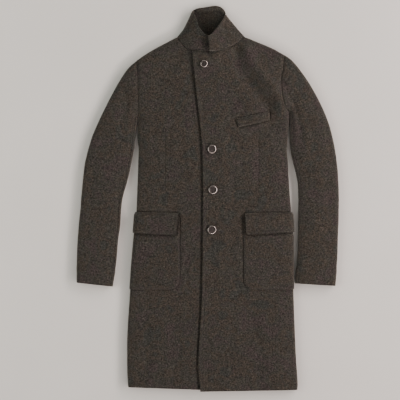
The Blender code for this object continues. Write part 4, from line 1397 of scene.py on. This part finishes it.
def buttonholes(piece, material):
    """Buttonholes on the upper front: stitches that bind each slit's two sides and fan round its ends, with
    the slit itself left uncut.
    """
    starts, ends = [], []
    for button in BUTTONS:
        first, last = (np.array([button.x + x, button.y]) for x in SLIT)
        spokes = [
            (np.array([x, button.y]), np.array([0, side]))
            for x in np.arange(first[0], last[0], PURL.pitch)
            for side in (-1, 1)
        ]
        for middle, facing in ((first, 180), (last, 0)):
            turns = [math.radians(facing + degrees) for degrees in FAN]
            spokes += [(middle, np.array([math.cos(turn), math.sin(turn)])) for turn in turns]
        for middle, way in spokes:
            starts.append(middle + way * SLIT_WIDTH / 2)
            ends.append(middle + way * (SLIT_WIDTH / 2 + PURL.length))
    return strands("buttonhole_stitching", piece, starts, ends, PURL.thickness, material)


# Stage, light and camera

FLOOR_WIDTH = 14.0
FLOOR_LEVEL = -0.0006  # metres, clear of the cloth on it


def floor():
    alone()
    bpy.ops.mesh.primitive_plane_add(size=FLOOR_WIDTH, location=(0, 0, FLOOR_LEVEL))
    piece = bpy.context.object
    piece.name = "floor"
    material, tree, place = started("painted_board")
    # the paint varies a little over a third of a metre
    paint = ramp(tree, noise(tree, place, 0.33), [(0.3, "d6d4d0"), (0.7, "dad8d4")])
    shade(tree, {"Base Color": paint, "Roughness": 0.8})
    piece.data.materials.append(material)


# Soft boxes: degrees round from the wearer's left toward the collar, degrees up, metres off and across, watts
Box = namedtuple("Box", "name azimuth elevation distance size power colour")
BOXES = [
    Box("key", -57, 30, 8.0, (10.8, 1.4), 640, "fff1ec"),
    Box("low", -125, 30, 8.0, (9.6, 1.4), 180, "fff1ec"),
    Box("side", 15, 30, 3.0, (4.0, 0.7), 134, "fff1ec"),
    Box("left", 179, 34, 2.6, (2.2, 2.0), 46, "f2f4ec"),
    Box("top", 90, 28, 2.4, (3.0, 1.4), 20, "f6f4ee"),
]
WORLD_STRENGTH = 0.046


def studio():
    world = bpy.data.worlds.new("studio")
    bpy.context.scene.world = world
    world.use_nodes = True
    backdrop = {"Color": linear("d4e6da"), "Strength": WORLD_STRENGTH}
    plug(world.node_tree, world.node_tree.nodes["Background"], backdrop)
    for box in BOXES:
        light = bpy.data.lights.new(box.name, "AREA")
        light.shape = "RECTANGLE"
        light.size, light.size_y = box.size
        light.energy = box.power
        light.color = linear(box.colour)[:3]
        lamp = linked(box.name, light)
        turn, up = math.radians(box.azimuth), math.radians(box.elevation)
        way = Vector((math.cos(up) * math.cos(turn), math.cos(up) * math.sin(turn), math.sin(up)))
        lamp.location = box.distance * way
        lamp.rotation_mode = "QUATERNION"
        lamp.rotation_quaternion = way.to_track_quat("Z", "Y")
        lamp.visible_camera = False


# The view, in metres: straight down, 1.18 of the coat's level from side to side
VIEW_WIDTH = 1.180
VIEW_LENS = 300.0
SENSOR = 36.0
VIEW_MIDDLE = (-0.0233, -0.0036)
COAT_LEVEL = 0.03
VIEW_END = 30.0


def camera():
    view = bpy.data.cameras.new("camera")
    view.lens = VIEW_LENS
    view.sensor_width = SENSOR
    view.clip_end = VIEW_END
    piece = linked("camera", view)
    piece.location = (*VIEW_MIDDLE, COAT_LEVEL + VIEW_WIDTH * VIEW_LENS / SENSOR)
    bpy.context.scene.camera = piece


Cut = namedtuple("Cut", "piece node flat area rests_on")


def declare(cut):
    """Rides a piece of cloth on the root, and hides the model's part that it stands for."""
    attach(cut.piece, "root")
    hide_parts(cut.node)


def sewing_of(*pieces):
    for piece in pieces:
        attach(piece, "root")


GROOVES = grooves()


def main():
    camera()
    floor()
    studio()
    wool, thread = boiled_wool(), spun_thread()
    fronts = {s: front(s, front_lift if s == "left" else nothing, wool) for s in SIDES}
    cuts = [
        Cut(back(wool), "back", (0.476, 1.040), 0.450, ["floor"]),
        Cut(fronts["right"], "front_right", (0.330, 1.050), 0.288, ["back_cloth"]),
        Cut(fronts["left"], "front_left", (0.350, 1.050), 0.300, ["back_cloth", "front_right_cloth"]),
        Cut(collar(wool), "collar", (0.440, 0.110), 0.034, ["back_cloth"]),
    ]
    sewing = [
        topstitches("front_edge_stitching", fronts["left"], front_stitch_line(), thread),
        buttonholes(fronts["left"], thread),
    ]
    for s in SIDES:
        top, under = sleeve(s, wool)
        cuts.append(Cut(under, f"sleeve_{s}_under", (0.170, 0.670), 0.076, ["floor"]))
        cuts.append(Cut(top, f"sleeve_{s}_top", (0.190, 0.690), 0.089, [under.name]))
        for make, node, flat, under in (
            (pocket, f"pocket_{s}", (0.175, 0.215), f"front_{s}_cloth"),
            (flap, f"flap_{s}", (0.165, 0.066), f"pocket_{s}_cloth"),
        ):
            piece, line = make(s, wool)
            cuts.append(Cut(piece, node, flat, None, [under]))
            sewing.append(topstitches(f"{node}_stitching", piece, line, thread))
    piece, line = chest_welt(wool)
    cuts.append(Cut(piece, "chest_welt", (0.100, 0.027), None, ["front_left_cloth"]))
    sewing.append(topstitches("chest_welt_stitching", piece, line, thread))
    for cut in cuts:
        declare(cut)
    sewing_of(*sewing)
    for i, parts in enumerate(buttons(fronts["left"], dyed_horn(), pale_horn(), thread)):
        for part in parts:
            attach(part, "root")
        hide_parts(f"button_{i + 1}")


main()
